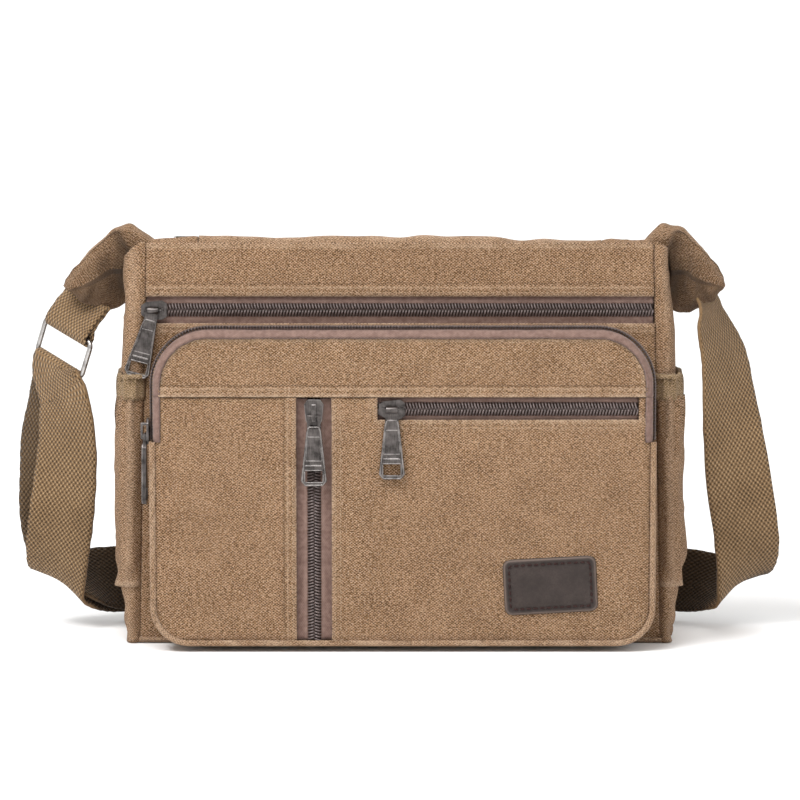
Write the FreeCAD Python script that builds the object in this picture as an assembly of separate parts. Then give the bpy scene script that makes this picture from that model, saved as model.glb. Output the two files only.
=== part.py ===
"""A canvas messenger bag with a front pouch, six coil zips and a shoulder strap.

Millimetres, +Z up. The origin is the centre of the flat base and the front of the bag faces -Y.
Every sub-part is written to parts/NODE.step.
"""
import FreeCAD
import Part
import math
import os

V = FreeCAD.Vector

# Bag body: a flat front, a back that leans in towards the top, and sides that bulge.
HEIGHT = 252.0  # front rim
BACK_HEIGHT = 250.0
BASE_HALF = 164.0
TOP_HALF = 158.0
FRONT_Y = -40.0
BACK_BASE_Y = 44.0
BACK_TOP_Y = 16.0
SIDE_BULGE = 10.0
CANVAS = 2.0
BASE_THICK = 2.0

# Coil zips, size 8. Across a zip the numbers are half widths from its centre line.
SLIT = 0.7
COIL_HALF = 4.0
COIL_THICK = 2.4
TAPE_THICK = 0.8
SLOT_HALF = 6.5  # half of the gap in the canvas that the coil shows through
TAPE_HALF = 10.0
SLIDER_HALF_LENGTH = 8.0
SLIDER_HALF_WIDTH = 6.0
SLIDER_GAP = 0.4
PLATE_THICK = 1.5
BAR_LIFT = 6.8  # the bridge bar's centre above the inside face of the canvas
BAR_RADIUS = 0.8
KNUCKLE_RADIUS = 2.2
PULL_THICK = 2.2
PULL_LENGTH = 43.0
PULL_END_HALF = 8.0

# Heights and places of the zips.
FRONT_ZIP_Z = 210.5
FRONT_SLOT_HALF = 8.5
FRONT_TAPE_HALF = 11.0
FRONT_SLIDER_X = -153.5
FRONT_PULL_SHIFT = -0.4  # along the bridge bar
FRONT_PULL_TILT = 15.0
MOUTH_Y = -12.0
MOUTH_Z = 246.3  # underside of the top flaps
MOUTH_HALF = 126.0
MOUTH_SLIDER_X = -138.0
BACK_ZIP_Z = 196.0
BACK_ZIP_HALF = 112.0
BACK_SLIDER_X = -100.0

# Pouch on the front, measured on the inside face of its side wall.
POUCH_LEFT = -152.5
POUCH_RIGHT = 156.0
POUCH_TOP = 200.0
POUCH_BASE = 6.0
POUCH_CORNER = 34.0  # at the top
POUCH_BASE_CORNER = 22.0
POUCH_Y = -73.0
WALL = 1.6
DOOR_Z = 159.0  # fold line of the pouch's top
DOOR_GAP = 0.3
ARCH_END_Z = 131.0
ARCH_BAND = 5.0  # width of the tape that shows on the pouch's front
ARCH_ZIP_Y = -62.0
ARCH_SLIDER_Z = 137.0
V_ZIP_X = -53.0
V_ZIP_HALF = 11.0
V_SLIDER_Z = 149.5
H_ZIP_Z = 151.5
H_ZIP_START = -14.0
H_ZIP_END = 147.0
H_SLIDER_X = -5.0

# Side pockets.
POCKET_BASE = 36.0
POCKET_TOP = 157.0
ELASTIC_TOP = 169.0
POCKET_FULLNESS = 9.5

# Shoulder strap.
WEB_WIDTH = 42.0
WEB_THICK = 2.0
RING_WIRE = 1.6
STRAP_REAR_Y = 62.0
STRAP_REAR_Z = 26.0
RETURN_Y = 57.0
REAR_LEFT = -155.0
REAR_RIGHT = 145.0
ADJUSTER_X = -60.0

parts = {}


# ---- general shapes -------------------------------------------------------------------------

def box(x0, x1, y0, y1, z0, z1):
    return Part.makeBox(x1 - x0, y1 - y0, z1 - z0, V(x0, y0, z0))


def polygon_prism(points, direction):
    """The solid swept by a flat closed outline of vectors."""
    wire = Part.makePolygon(points + [points[0]])
    return Part.Face(wire).extrude(direction)


def fuse(shapes):
    result = shapes[0]
    for shape in shapes[1:]:
        result = result.fuse(shape)
    return result.removeSplitter()


def group(shapes):
    return Part.makeCompound(shapes)


def mirror_x(shape):
    return shape.mirror(V(0, 0, 0), V(1, 0, 0))


def in_frame(shape, origin, along, across):
    """Moves a shape from zip coordinates (along, across, outward) into the bag's."""
    out = along.cross(across)
    matrix = FreeCAD.Matrix(
        along.x, across.x, out.x, origin.x,
        along.y, across.y, out.y, origin.y,
        along.z, across.z, out.z, origin.z,
        0, 0, 0, 1)
    copy = shape.copy()
    copy.Placement = FreeCAD.Placement(matrix).multiply(copy.Placement)
    return copy


# ---- bag body -------------------------------------------------------------------------------

def half_width(z):
    return BASE_HALF + (TOP_HALF - BASE_HALF) * z / HEIGHT


def back_y(z):
    return BACK_BASE_Y + (BACK_TOP_Y - BACK_BASE_Y) * z / HEIGHT


def arc(a, b, c):
    return Part.Arc(a, b, c).toShape()


def line(a, b):
    return Part.makeLine(a, b)


def side_arc(z, bulge, inset):
    """The right side's curve at height z, from front to back, with its ends inset from the seams."""
    hw, y0, y1 = half_width(z), FRONT_Y + inset, back_y(z) - inset
    return V(hw, y0, z), V(hw + bulge, (y0 + y1) / 2, z), V(hw, y1, z)


def side_wire(z, bulge, thick, inset):
    front, middle, back = side_arc(z, bulge, inset)
    inner_front, inner_middle, inner_back = side_arc(z, bulge - thick, inset + thick)
    return Part.Wire([arc(front, middle, back), line(back, inner_back),
                      arc(inner_back, inner_middle, inner_front), line(inner_front, front)])


def side_shell(z0, z1, bulge0, bulge1, thick, inset=0.0):
    """A curved wall over the right side, from one seam to the other."""
    wires = [side_wire(z0, bulge0, thick, inset), side_wire(z1, bulge1, thick, inset)]
    return Part.makeLoft(wires, True, True)


def side_solid(z0, z1, bulge):
    """All that lies inside the right side's curve, back to the chord between its seams."""
    wires = []
    for z in (z0, z1):
        front, middle, back = side_arc(z, bulge, 0)
        wires.append(Part.Wire([arc(front, middle, back), line(back, front)]))
    return Part.makeLoft(wires, True, True)


def slab(z0, z1, inset, front, back_gap):
    """A block as wide as the bag less inset, from y = front to back_gap inside the back."""
    wires = []
    for z in (z0, z1):
        hw, yb = half_width(z) - inset, back_y(z) - back_gap
        corners = [V(-hw, front, z), V(hw, front, z), V(hw, yb, z), V(-hw, yb, z)]
        wires.append(Part.makePolygon(corners + [corners[0]]))
    return Part.makeLoft(wires, True, True)


def front_plate(z0, z1):
    corners = [V(-half_width(z0), FRONT_Y, z0), V(half_width(z0), FRONT_Y, z0),
               V(half_width(z1), FRONT_Y, z1), V(-half_width(z1), FRONT_Y, z1)]
    return polygon_prism(corners, V(0, CANVAS, 0))


def bag_body():
    parts["front_panel"] = front_plate(BASE_THICK, FRONT_ZIP_Z - FRONT_SLOT_HALF)
    parts["front_top_band"] = front_plate(FRONT_ZIP_Z + FRONT_SLOT_HALF, HEIGHT)

    wires = []
    for z in (BASE_THICK, BACK_HEIGHT):
        hw, y1 = half_width(z), back_y(z)
        y0 = y1 - CANVAS
        corners = [V(-hw, y0, z), V(hw, y0, z), V(hw, y1, z), V(-hw, y1, z)]
        wires.append(Part.makePolygon(corners + [corners[0]]))
    slot = box(-BACK_ZIP_HALF, BACK_ZIP_HALF, 0, 60, BACK_ZIP_Z - SLOT_HALF, BACK_ZIP_Z + SLOT_HALF)
    parts["back_panel"] = Part.makeLoft(wires, True, True).cut(slot)

    gusset = side_shell(BASE_THICK, BACK_HEIGHT, SIDE_BULGE, SIDE_BULGE, CANVAS)
    parts["right_gusset"] = gusset
    parts["left_gusset"] = mirror_x(gusset)

    hw, middle = BASE_HALF, (FRONT_Y + BACK_BASE_Y) / 2
    footprint = Part.Wire([
        line(V(-hw, FRONT_Y, 0), V(hw, FRONT_Y, 0)),
        arc(V(hw, FRONT_Y, 0), V(hw + SIDE_BULGE, middle, 0), V(hw, BACK_BASE_Y, 0)),
        line(V(hw, BACK_BASE_Y, 0), V(-hw, BACK_BASE_Y, 0)),
        arc(V(-hw, BACK_BASE_Y, 0), V(-hw - SIDE_BULGE, middle, 0), V(-hw, FRONT_Y, 0))])
    parts["bottom_panel"] = Part.Face(footprint).extrude(V(0, 0, BASE_THICK))


def lining():
    """A loose inner bag, hung from a facing that is sewn to the rim all round."""
    low, high, facing = 3.5, 245.0, 234.0
    gap, thick = 6.5, 0.8
    bag = slab(low, high, 3, FRONT_Y + gap, gap)
    bag = bag.cut(slab(low + thick, high + 1, 3 + thick, FRONT_Y + gap + thick, gap + thick))
    ring = slab(facing, high, 0, FRONT_Y + CANVAS, CANVAS)
    ring = ring.cut(slab(facing - 1, high + 1, 3 + thick, FRONT_Y + gap + thick, gap + thick))
    parts["lining"] = fuse([bag, ring])


def side_pockets():
    full = SIDE_BULGE + POCKET_FULLNESS
    gusset = side_solid(0, HEIGHT, SIDE_BULGE)
    pocket = side_shell(POCKET_BASE, POCKET_TOP, SIDE_BULGE + WALL, full, WALL).cut(gusset)
    elastic = side_shell(POCKET_TOP, ELASTIC_TOP, full + 0.4, full, WALL + 0.8).cut(gusset)
    parts["right_side_pocket"] = pocket
    parts["left_side_pocket"] = mirror_x(pocket)
    parts["pocket_elastics"] = group([elastic, mirror_x(elastic)])


def ear(outline):
    """A folded canvas wing at the right top corner, narrower towards its end."""
    end = max(x for x, z in outline)
    wing = polygon_prism([V(x, -34, z) for x, z in outline], V(0, 44, 0))
    front_cut = polygon_prism([V(178, -35, 195), V(end, -35, 195), V(end, -27, 195)], V(0, 0, 75))
    back_cut = polygon_prism([V(174, 11, 195), V(end, 11, 195), V(end, 2, 195)], V(0, 0, 75))
    envelope = side_solid(150, HEIGHT + 20, SIDE_BULGE)
    return wing.cut(envelope).cut(front_cut).cut(back_cut)


def ears():
    """The wings that carry the strap. The left one reaches further out than the right one."""
    parts["right_ear"] = ear([(159, 252), (167, 259), (180, 260.5), (189, 250), (198, 239), (204, 226),
                              (199, 218), (196, 210.5), (183, 204.5), (173, 209), (166, 225)])
    parts["left_ear"] = mirror_x(ear([(159, 252), (166, 257.5), (174, 260.5), (184, 257.5), (196, 244.5),
                                      (210, 230), (212, 221), (191, 207.5), (180, 209), (174, 214),
                                      (166, 228)]))


# ---- zips: coordinates are (along, across, outward) from the inside face of the canvas ------

def zip_strip(start, end, across0, across1, out0, out1):
    """Both sides of a zip: a strip between two half widths, and its mirror image."""
    return [box(start, end, across0, across1, out0, out1),
            box(start, end, -across1, -across0, out0, out1)]


def tapes(start, end, half=TAPE_HALF):
    return zip_strip(start, end, SLIT, half, -TAPE_THICK, 0)


def coils(start, end):
    return zip_strip(start, end, SLIT, COIL_HALF, 0, COIL_THICK)


def slider_body():
    """Two plates round the coils, joined by a thin post that runs in the slit."""
    plate_low = COIL_THICK + SLIDER_GAP
    plate_high = plate_low + PLATE_THICK
    length, width = SLIDER_HALF_LENGTH, SLIDER_HALF_WIDTH
    outline = [V(-length, -3, plate_low), V(-length + 3, -width + 1, plate_low),
               V(length - 3, -width, plate_low), V(length, -width + 2, plate_low),
               V(length, width - 2, plate_low), V(length - 3, width, plate_low),
               V(-length + 3, width - 1, plate_low), V(-length, 3, plate_low)]
    top = polygon_prism(outline, V(0, 0, PLATE_THICK))
    under = -TAPE_THICK - SLIDER_GAP
    bottom = box(-5.5, 5.5, -width, width, under - 1, under)
    post = box(-3, 3, -0.45, 0.45, under - 0.2, plate_low + 0.2)
    return [top, bottom, post], plate_high


def cross_slider():
    """A slider whose bridge bar lies along the zip, for a pull that hangs across it."""
    shapes, top = slider_body()
    for side in (-1, 1):
        ends = sorted((side * 4.5, side * 6.1))
        shapes.append(box(ends[0], ends[1], -1.2, 1.2, top - 0.2, BAR_LIFT + BAR_RADIUS))
    shapes.append(Part.makeCylinder(BAR_RADIUS, 12.2, V(-6.1, 0, BAR_LIFT), V(1, 0, 0)))
    return fuse(shapes)


EYE_BAR = V(-2.2, 0, 5.7)  # centre of the pull's eye bar under an arched bridge


def arched_slider():
    """A slider with an arched bridge, for a pull that hangs in line with the zip."""
    shapes, top = slider_body()
    arch = box(-5, 5, -1.2, 1.2, top - 0.2, 8.1).cut(box(-3.4, 3.4, -2, 2, top - 1, 6.9))
    return fuse(shapes + [arch])


def pull_plate(start, low, high):
    """The tapered plate of a pull that hangs along -Y, framed, with a window near its end."""
    end, half = -PULL_LENGTH, PULL_END_HALF
    neck = 4.3
    outline = [V(-3.4, start, low), V(3.4, start, low), V(neck, -8, low), V(half, end + 3, low),
               V(half - 2.5, end, low), V(2.5 - half, end, low), V(-half, end + 3, low),
               V(-neck, -8, low)]
    plate = polygon_prism(outline, V(0, 0, high - low))
    window = box(-5.4, 5.4, -40.5, -33.5, low - 1, high + 1)
    recess = polygon_prism([V(-3.6, -13, high - 0.6), V(3.6, -13, high - 0.6),
                            V(4.8, -27, high - 0.6), V(-4.8, -27, high - 0.6)], V(0, 0, 1))
    return plate.cut(window).cut(recess)


def knuckle_pull(tilt=0.0):
    """A pull whose end is rolled round the bridge bar. Its coordinates start at the bar."""
    plate = pull_plate(0, -KNUCKLE_RADIUS, PULL_THICK - KNUCKLE_RADIUS)
    plate.rotate(V(0, 0, 0), V(0, 0, 1), tilt)
    knuckle = Part.makeCylinder(KNUCKLE_RADIUS, 7, V(-3.5, 0, 0), V(1, 0, 0))
    bore = Part.makeCylinder(BAR_RADIUS + 0.3, 30, V(-15, 0, 0), V(1, 0, 0))
    return fuse([plate, knuckle]).cut(bore)


def eye_pull():
    """A pull with an eye whose top bar lies under an arched bridge. It hangs along -X."""
    plate = pull_plate(-6, -PULL_THICK / 2, PULL_THICK / 2)
    eye = box(-4.1, 4.1, -9, 0, -0.9, 0.9).cut(box(-2.5, 2.5, -7.5, -0.5, -2, 2))
    bar = Part.makeCylinder(0.9, 8.2, V(-4.1, 0, 0), V(1, 0, 0))
    clear = box(-2.5, 2.5, -7.5, -0.95, -2, 2)
    pull = fuse([plate, eye, bar]).cut(clear)
    pull.rotate(V(0, 0, 0), V(0, 0, 1), -90)
    return pull


def hung(pull, offset):
    pull.translate(offset)
    return pull


def add_zip(name, origin, along, across, start, end, slider, pull, half=TAPE_HALF):
    """One whole zip in the canvas. The slider and pull are given where they rest."""
    parts[name + "_zip_tape"] = in_frame(group(tapes(start, end, half)), origin, along, across)
    parts[name + "_zip_teeth"] = in_frame(group(coils(start, end)), origin, along, across)
    parts[name + "_zip_slider"] = in_frame(slider, origin, along, across)
    parts[name + "_zip_pull"] = in_frame(pull, origin, along, across)


def moved(shape, offset):
    copy = shape.copy()
    copy.translate(offset)
    return copy


def straight_zips():
    bar = V(0, 0, BAR_LIFT)

    at = V(FRONT_SLIDER_X, 0, 0)
    pull_at = at + bar + V(FRONT_PULL_SHIFT, 0, 0)
    reach = half_width(FRONT_ZIP_Z) - 0.6
    add_zip("front", V(0, FRONT_Y + CANVAS, FRONT_ZIP_Z), V(1, 0, 0), V(0, 0, 1), -reach, reach,
            moved(cross_slider(), at), hung(knuckle_pull(-FRONT_PULL_TILT), pull_at), FRONT_TAPE_HALF)

    at = V(H_SLIDER_X, 0, 0)
    add_zip("right_pouch", V(0, POUCH_Y + CANVAS, H_ZIP_Z), V(1, 0, 0), V(0, 0, 1),
            H_ZIP_START, H_ZIP_END,
            moved(cross_slider(), at), hung(knuckle_pull(), at + bar), SLOT_HALF + 0.8)

    at = V(V_SLIDER_Z, 0, 0)
    add_zip("left_pouch", V(V_ZIP_X, POUCH_Y + CANVAS, 0), V(0, 0, 1), V(-1, 0, 0),
            POUCH_BASE + 1.5, DOOR_Z - 1,
            moved(arched_slider(), at), hung(eye_pull(), at + EYE_BAR), V_ZIP_HALF + 3)

    lean = math.atan2(BACK_BASE_Y - BACK_TOP_Y, HEIGHT)
    up = V(0, -math.sin(lean), math.cos(lean))
    origin = V(0, back_y(BACK_ZIP_Z) - CANVAS, BACK_ZIP_Z)
    at = V(-BACK_SLIDER_X, 0, 0)
    add_zip("back", origin, V(-1, 0, 0), up, -BACK_ZIP_HALF, BACK_ZIP_HALF,
            moved(cross_slider(), at), hung(knuckle_pull(), at + bar))


def mouth():
    """The zipped top: two flaps hinged on the rims, and fixed panels at the two ends."""
    origin, along, across = V(0, MOUTH_Y, MOUTH_Z), V(-1, 0, 0), V(0, -1, 0)
    hinge_gap = 0.5
    front = box(-MOUTH_HALF, MOUTH_HALF, FRONT_Y + CANVAS + hinge_gap, MOUTH_Y - SLOT_HALF,
                MOUTH_Z, MOUTH_Z + CANVAS)
    back_edge = back_y(MOUTH_Z + CANVAS) - CANVAS - hinge_gap
    back = box(-MOUTH_HALF, MOUTH_HALF, MOUTH_Y + SLOT_HALF, back_edge, MOUTH_Z, MOUTH_Z + CANVAS)
    parts["top_flap_front"] = front
    parts["top_flap_back"] = back
    tape_back, tape_front = tapes(-MOUTH_HALF, MOUTH_HALF)[::-1]
    coil_back, coil_front = coils(-MOUTH_HALF, MOUTH_HALF)[::-1]
    for name, tape, coil in (("front", tape_front, coil_front), ("back", tape_back, coil_back)):
        parts["top_zip_%s_tape" % name] = in_frame(tape, origin, along, across)
        parts["top_zip_%s_teeth" % name] = in_frame(coil, origin, along, across)

    seam = half_width(MOUTH_Z + CANVAS) - 0.3
    ends, end_tapes, end_coils = [], [], []
    for side in (-1, 1):
        x0, x1 = sorted((side * (MOUTH_HALF + 0.5), side * seam))
        ends.append(box(x0, x1, FRONT_Y + CANVAS, MOUTH_Y - SLOT_HALF, MOUTH_Z, MOUTH_Z + CANVAS))
        ends.append(box(x0, x1, MOUTH_Y + SLOT_HALF, back_edge + hinge_gap,
                        MOUTH_Z, MOUTH_Z + CANVAS))
        end_tapes += tapes(x0, x1)
        end_coils += coils(x0, x1)
    parts["top_end_panels"] = group(ends)
    parts["top_zip_end_tapes"] = in_frame(group(end_tapes), origin, along, across)
    parts["top_zip_end_teeth"] = in_frame(group(end_coils), origin, along, across)

    at = V(-MOUTH_SLIDER_X, 0, 0)
    slider = moved(cross_slider(), at)
    pull = hung(knuckle_pull(), at + V(0, 0, BAR_LIFT))
    parts["top_zip_slider"] = in_frame(slider, origin, along, across)
    parts["top_zip_pull"] = in_frame(pull, origin, along, across)


# ---- pouch ----------------------------------------------------------------------------------

def outline_prism(inset, y0, y1):
    """The pouch's outline, moved inwards by inset, as a block between two depths."""
    x0, x1 = POUCH_LEFT + inset, POUCH_RIGHT - inset
    z0, z1 = POUCH_BASE + inset, POUCH_TOP - inset
    r, t = POUCH_BASE_CORNER - inset, POUCH_CORNER - inset
    k, m = r * (1 - math.sqrt(0.5)), t * (1 - math.sqrt(0.5))
    edges = [
        line(V(x0 + r, y0, z0), V(x1 - r, y0, z0)),
        arc(V(x1 - r, y0, z0), V(x1 - k, y0, z0 + k), V(x1, y0, z0 + r)),
        line(V(x1, y0, z0 + r), V(x1, y0, z1 - t)),
        arc(V(x1, y0, z1 - t), V(x1 - m, y0, z1 - m), V(x1 - t, y0, z1)),
        line(V(x1 - t, y0, z1), V(x0 + t, y0, z1)),
        arc(V(x0 + t, y0, z1), V(x0 + m, y0, z1 - m), V(x0, y0, z1 - t)),
        line(V(x0, y0, z1 - t), V(x0, y0, z0 + r)),
        arc(V(x0, y0, z0 + r), V(x0 + k, y0, z0 + k), V(x0 + r, y0, z0))]
    return Part.Face(Part.Wire(edges)).extrude(V(0, y1 - y0, 0))


def belt(outer, inner, y0, y1):
    """A band that follows the pouch's outline, between two insets."""
    return outline_prism(outer, y0, y1).cut(outline_prism(inner, y0 - 1, y1 + 1))


def level(shape, z0, z1):
    """The part of a shape between two heights."""
    return shape.common(box(-300, 300, -200, 200, z0, z1))


def pouch():
    tape_in = TAPE_THICK
    coil_out = -COIL_THICK + 0.2
    front_row = (ARCH_ZIP_Y - COIL_HALF, ARCH_ZIP_Y - SLIT)
    back_row = (ARCH_ZIP_Y + SLIT, ARCH_ZIP_Y + COIL_HALF)
    wall_edge = ARCH_ZIP_Y + 8.0
    low, top = ARCH_END_Z, POUCH_TOP + 20

    wall = belt(-WALL, 0, wall_edge, FRONT_Y)
    lower_wall = level(belt(-WALL, 0, POUCH_Y, wall_edge), -10, low)
    parts["pouch_gusset"] = fuse([wall, lower_wall])

    back_tape = belt(0, tape_in, back_row[0], wall_edge + 2)
    back_coil = belt(coil_out, 0, *back_row)
    edge_band = belt(0, ARCH_BAND, POUCH_Y, POUCH_Y + 1)
    edge_wall = belt(0, tape_in, POUCH_Y + 1, front_row[1])
    front_tape = fuse([edge_band, edge_wall])
    front_coil = belt(coil_out, 0, *front_row)
    hinge = DOOR_Z - DOOR_GAP
    parts["arch_zip_tape"] = group([level(back_tape, low, top), level(front_tape, low, hinge)])
    parts["arch_zip_teeth"] = group([level(back_coil, low, top), level(front_coil, low, hinge)])
    parts["arch_zip_door_tape"] = level(front_tape, DOOR_Z, top)
    parts["arch_zip_door_teeth"] = level(front_coil, DOOR_Z, top)

    upper_face = outline_prism(ARCH_BAND, POUCH_Y, POUCH_Y + CANVAS)
    parts["pouch_top_band"] = level(upper_face, DOOR_Z, top)
    face = fuse([level(upper_face, low, hinge),
                 level(outline_prism(0, POUCH_Y, POUCH_Y + CANVAS), -10, low)])
    left_edge, right_edge = V_ZIP_X - V_ZIP_HALF, V_ZIP_X + V_ZIP_HALF
    h_slot = box(H_ZIP_START, H_ZIP_END, -90, -60, H_ZIP_Z - SLOT_HALF, H_ZIP_Z + SLOT_HALF)
    parts["pouch_left_panel"] = face.common(box(-300, left_edge, -200, 0, -10, 300))
    parts["pouch_right_panel"] = face.common(box(right_edge, 300, -200, 0, -10, 300)).cut(h_slot)

    origin = V(POUCH_LEFT, ARCH_ZIP_Y, 0)
    at = V(ARCH_SLIDER_Z, 0, 0)
    along, across = V(0, 0, 1), V(0, 1, 0)
    parts["arch_zip_slider"] = in_frame(moved(arched_slider(), at), origin, along, across)
    parts["arch_zip_pull"] = in_frame(hung(eye_pull(), at + EYE_BAR), origin, along, across)


def label_patch():
    """A plain leather patch with rounded corners, sewn on a little askew."""
    width, height, corner, thick, tilt = 58.0, 35.0, 5.0, 1.4, -3.0
    centre = V(93, POUCH_Y, 42)
    patch = box(-width / 2, width / 2, -thick, 0, -height / 2, height / 2)
    patch = patch.makeFillet(corner, [e for e in patch.Edges if abs(e.tangentAt(0).y) > 0.9])
    patch.rotate(V(0, 0, 0), V(0, 1, 0), tilt)
    parts["label_patch"] = moved(patch, centre)


# ---- shoulder strap -------------------------------------------------------------------------

def squared(guess, direction):
    """The unit vector nearest to guess that is square to direction."""
    d = V(direction).normalize()
    return (guess - d * guess.dot(d)).normalize()


def web_section(centre, width_vector, direction, width, thick):
    across = squared(width_vector, direction) * (width / 2)
    normal = V(direction).cross(across).normalize() * (thick / 2)
    corners = [centre - across - normal, centre + across - normal,
               centre + across + normal, centre - across + normal]
    return Part.makePolygon(corners + [corners[0]])


def route_direction(route, i):
    before, after = route[max(i - 1, 0)][0], route[min(i + 1, len(route) - 1)][0]
    return (V(*after) - V(*before)).normalize()


def return_route():
    """The left leg's route moved by RETURN_OFFSETS, then straight on behind the bag."""
    route = []
    for i, (centre, across) in enumerate(LEFT_LEG):
        side, depth = RETURN_OFFSETS[i]
        direction = route_direction(LEFT_LEG, i)
        width_vector = squared(V(*across), direction)
        normal = direction.cross(width_vector)
        if i == 0:
            width_vector, normal = RING_ACROSS, RING_OUT
            centre = V(*centre) - RING_UP * TURN_GAP
        route.append((tuple(V(*centre) - width_vector * side - normal * depth), across))
    down = (0.0, 0.0, -1.0)
    route.append(((REAR_LEFT + 8, RETURN_Y, STRAP_REAR_Z), down))
    route.append(((ADJUSTER_X - 36, RETURN_Y, STRAP_REAR_Z), down))
    return route


def ribbon(route, first=None):
    """Flat webbing through a list of (centre, width vector), square to its route or to first."""
    wires = []
    for i, (centre, across) in enumerate(route):
        direction = first if first and i == 0 else route_direction(route, i)
        wires.append(web_section(V(*centre), V(*across), direction, WEB_WIDTH, WEB_THICK))
    return fuse([Part.makeLoft(list(pair), True, True) for pair in zip(wires, wires[1:])])


RING_BAR = V(-217, -9, 173.5)  # centre of the ring's lower bar
RING_ACROSS = V(0.68, -0.66, -0.32).normalize()
RING_UP = squared(V(0.15, 0, 1), RING_ACROSS)
RING_OUT = RING_ACROSS.cross(RING_UP)
LAYER_AT_RING = RING_WIRE + 0.3 + WEB_THICK / 2  # from the bar's centre to the webbing's
RING_RISE = 24.0
RING_HALF_WIDTH = 23.0
TURN_GAP = 1.4  # from the turn over the ring to the start of the return layer

# Routes of the webbing: the centre of each section and the direction of its width.
LEFT_LEG = [
    (tuple(RING_BAR + RING_OUT * LAYER_AT_RING + RING_UP * 0.6), tuple(RING_ACROSS)),
    ((-212.8, -15.6, 149), (0.80, -0.58, -0.15)),
    ((-211.5, -16.5, 124), (0.90, -0.43, 0.0)),
    ((-213.5, -13, 98), (0.96, -0.28, 0.0)),
    ((-217, -7, 73), (1.0, -0.12, -0.08)),
    ((-220.5, 2, 50), (0.96, -0.18, -0.24)),
    ((-221, 15, 32), (0.86, -0.24, -0.44)),
    ((-211, 30, 27), (0.64, -0.40, -0.66)),
    ((-197, 43, 26), (0.45, -0.3, -0.84)),
    ((-178, 53, 26), (0.2, -0.15, -0.97)),
    ((REAR_LEFT, 61, STRAP_REAR_Z), (0.0, 0.0, -1.0)),
]
# The return layer lies beside the left leg: how far to its left and behind it at each section.
RETURN_OFFSETS = [(3, 2 * LAYER_AT_RING), (17, 7.5), (18.5, 9), (14, 10), (8.5, 10), (5, 9.5),
                  (3, 8.5), (2, 7), (1, 6), (0.5, 5), (0, 4)]
RIGHT_LEG = [
    ((199, -12, 201), (0.50, 0.80, 0.33)),
    ((205.5, -14, 180), (0.68, 0.70, 0.22)),
    ((208.5, -15, 154), (0.80, 0.58, 0.12)),
    ((212.5, -14, 122), (0.94, 0.32, 0.05)),
    ((217, -9, 93), (1.0, 0.12, 0.0)),
    ((222, -1, 66), (1.0, 0.05, 0.1)),
    ((224, 9, 43), (0.94, 0.18, 0.28)),
    ((220, 22, 27.5), (0.84, 0.26, 0.48)),
    ((207, 36, 26), (0.58, 0.36, 0.73)),
    ((189, 49, 26), (0.3, 0.2, 0.93)),
    ((168, 57, 26), (0.12, 0.08, 0.99)),
    ((REAR_RIGHT, 61, STRAP_REAR_Z), (0.0, 0.0, 1.0)),
]


def strap_turn():
    """The half turn of webbing over the ring's lower bar."""
    near, length = RING_WIRE + 0.3, WEB_WIDTH - 4
    turn = Part.makeCylinder(near + WEB_THICK, length, V(-length / 2, 0, 0), V(1, 0, 0))
    turn = turn.cut(Part.makeCylinder(near, length + 2, V(-length / 2 - 1, 0, 0), V(1, 0, 0)))
    turn = turn.common(box(-50, 50, 0.3, 10, -10, 10))
    return in_frame(turn, RING_BAR, RING_ACROSS, RING_UP)


def strap():
    parts["strap_left"] = fuse([ribbon(LEFT_LEG, -RING_UP), strap_turn()])
    parts["strap_left_return"] = ribbon(return_route(), -RING_UP)
    parts["strap_right"] = ribbon(RIGHT_LEG)
    half, t = WEB_WIDTH / 2, WEB_THICK / 2
    parts["strap_rear"] = box(REAR_LEFT + 2, REAR_RIGHT - 2, STRAP_REAR_Y - t, STRAP_REAR_Y + t,
                              STRAP_REAR_Z - half, STRAP_REAR_Z + half)


def ring():
    """A rectangular wire ring with round corners, and the webbing tab that it hangs from."""
    centre = RING_BAR + RING_UP * (RING_RISE / 2)
    corner = 4.0
    x, y, k = RING_HALF_WIDTH, RING_RISE / 2, corner * (1 - math.sqrt(0.5))
    path = Part.Wire([
        line(V(-x + corner, -y, 0), V(x - corner, -y, 0)),
        arc(V(x - corner, -y, 0), V(x - k, -y + k, 0), V(x, -y + corner, 0)),
        line(V(x, -y + corner, 0), V(x, y - corner, 0)),
        arc(V(x, y - corner, 0), V(x - k, y - k, 0), V(x - corner, y, 0)),
        line(V(x - corner, y, 0), V(-x + corner, y, 0)),
        arc(V(-x + corner, y, 0), V(-x + k, y - k, 0), V(-x, y - corner, 0)),
        line(V(-x, y - corner, 0), V(-x, -y + corner, 0)),
        arc(V(-x, -y + corner, 0), V(-x + k, -y + k, 0), V(-x + corner, -y, 0))])
    section = Part.Wire(Part.makeCircle(RING_WIRE, V(0, -y, 0), V(1, 0, 0)))
    wire = path.makePipeShell([section], True, True)
    parts["strap_ring"] = in_frame(wire, centre, RING_ACROSS, RING_UP)

    hole = RING_WIRE + 0.3
    loop = Part.makeCylinder(hole + 1.6, 38, V(-19, y, 0), V(1, 0, 0))
    neck = box(-19, 19, y, y + 13, -2, 2)
    bore = Part.makeCylinder(hole, 60, V(-30, y, 0), V(1, 0, 0))
    tab = fuse([loop, neck]).cut(bore)
    parts["ring_tab"] = in_frame(tab, centre, RING_ACROSS, RING_UP)


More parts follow.
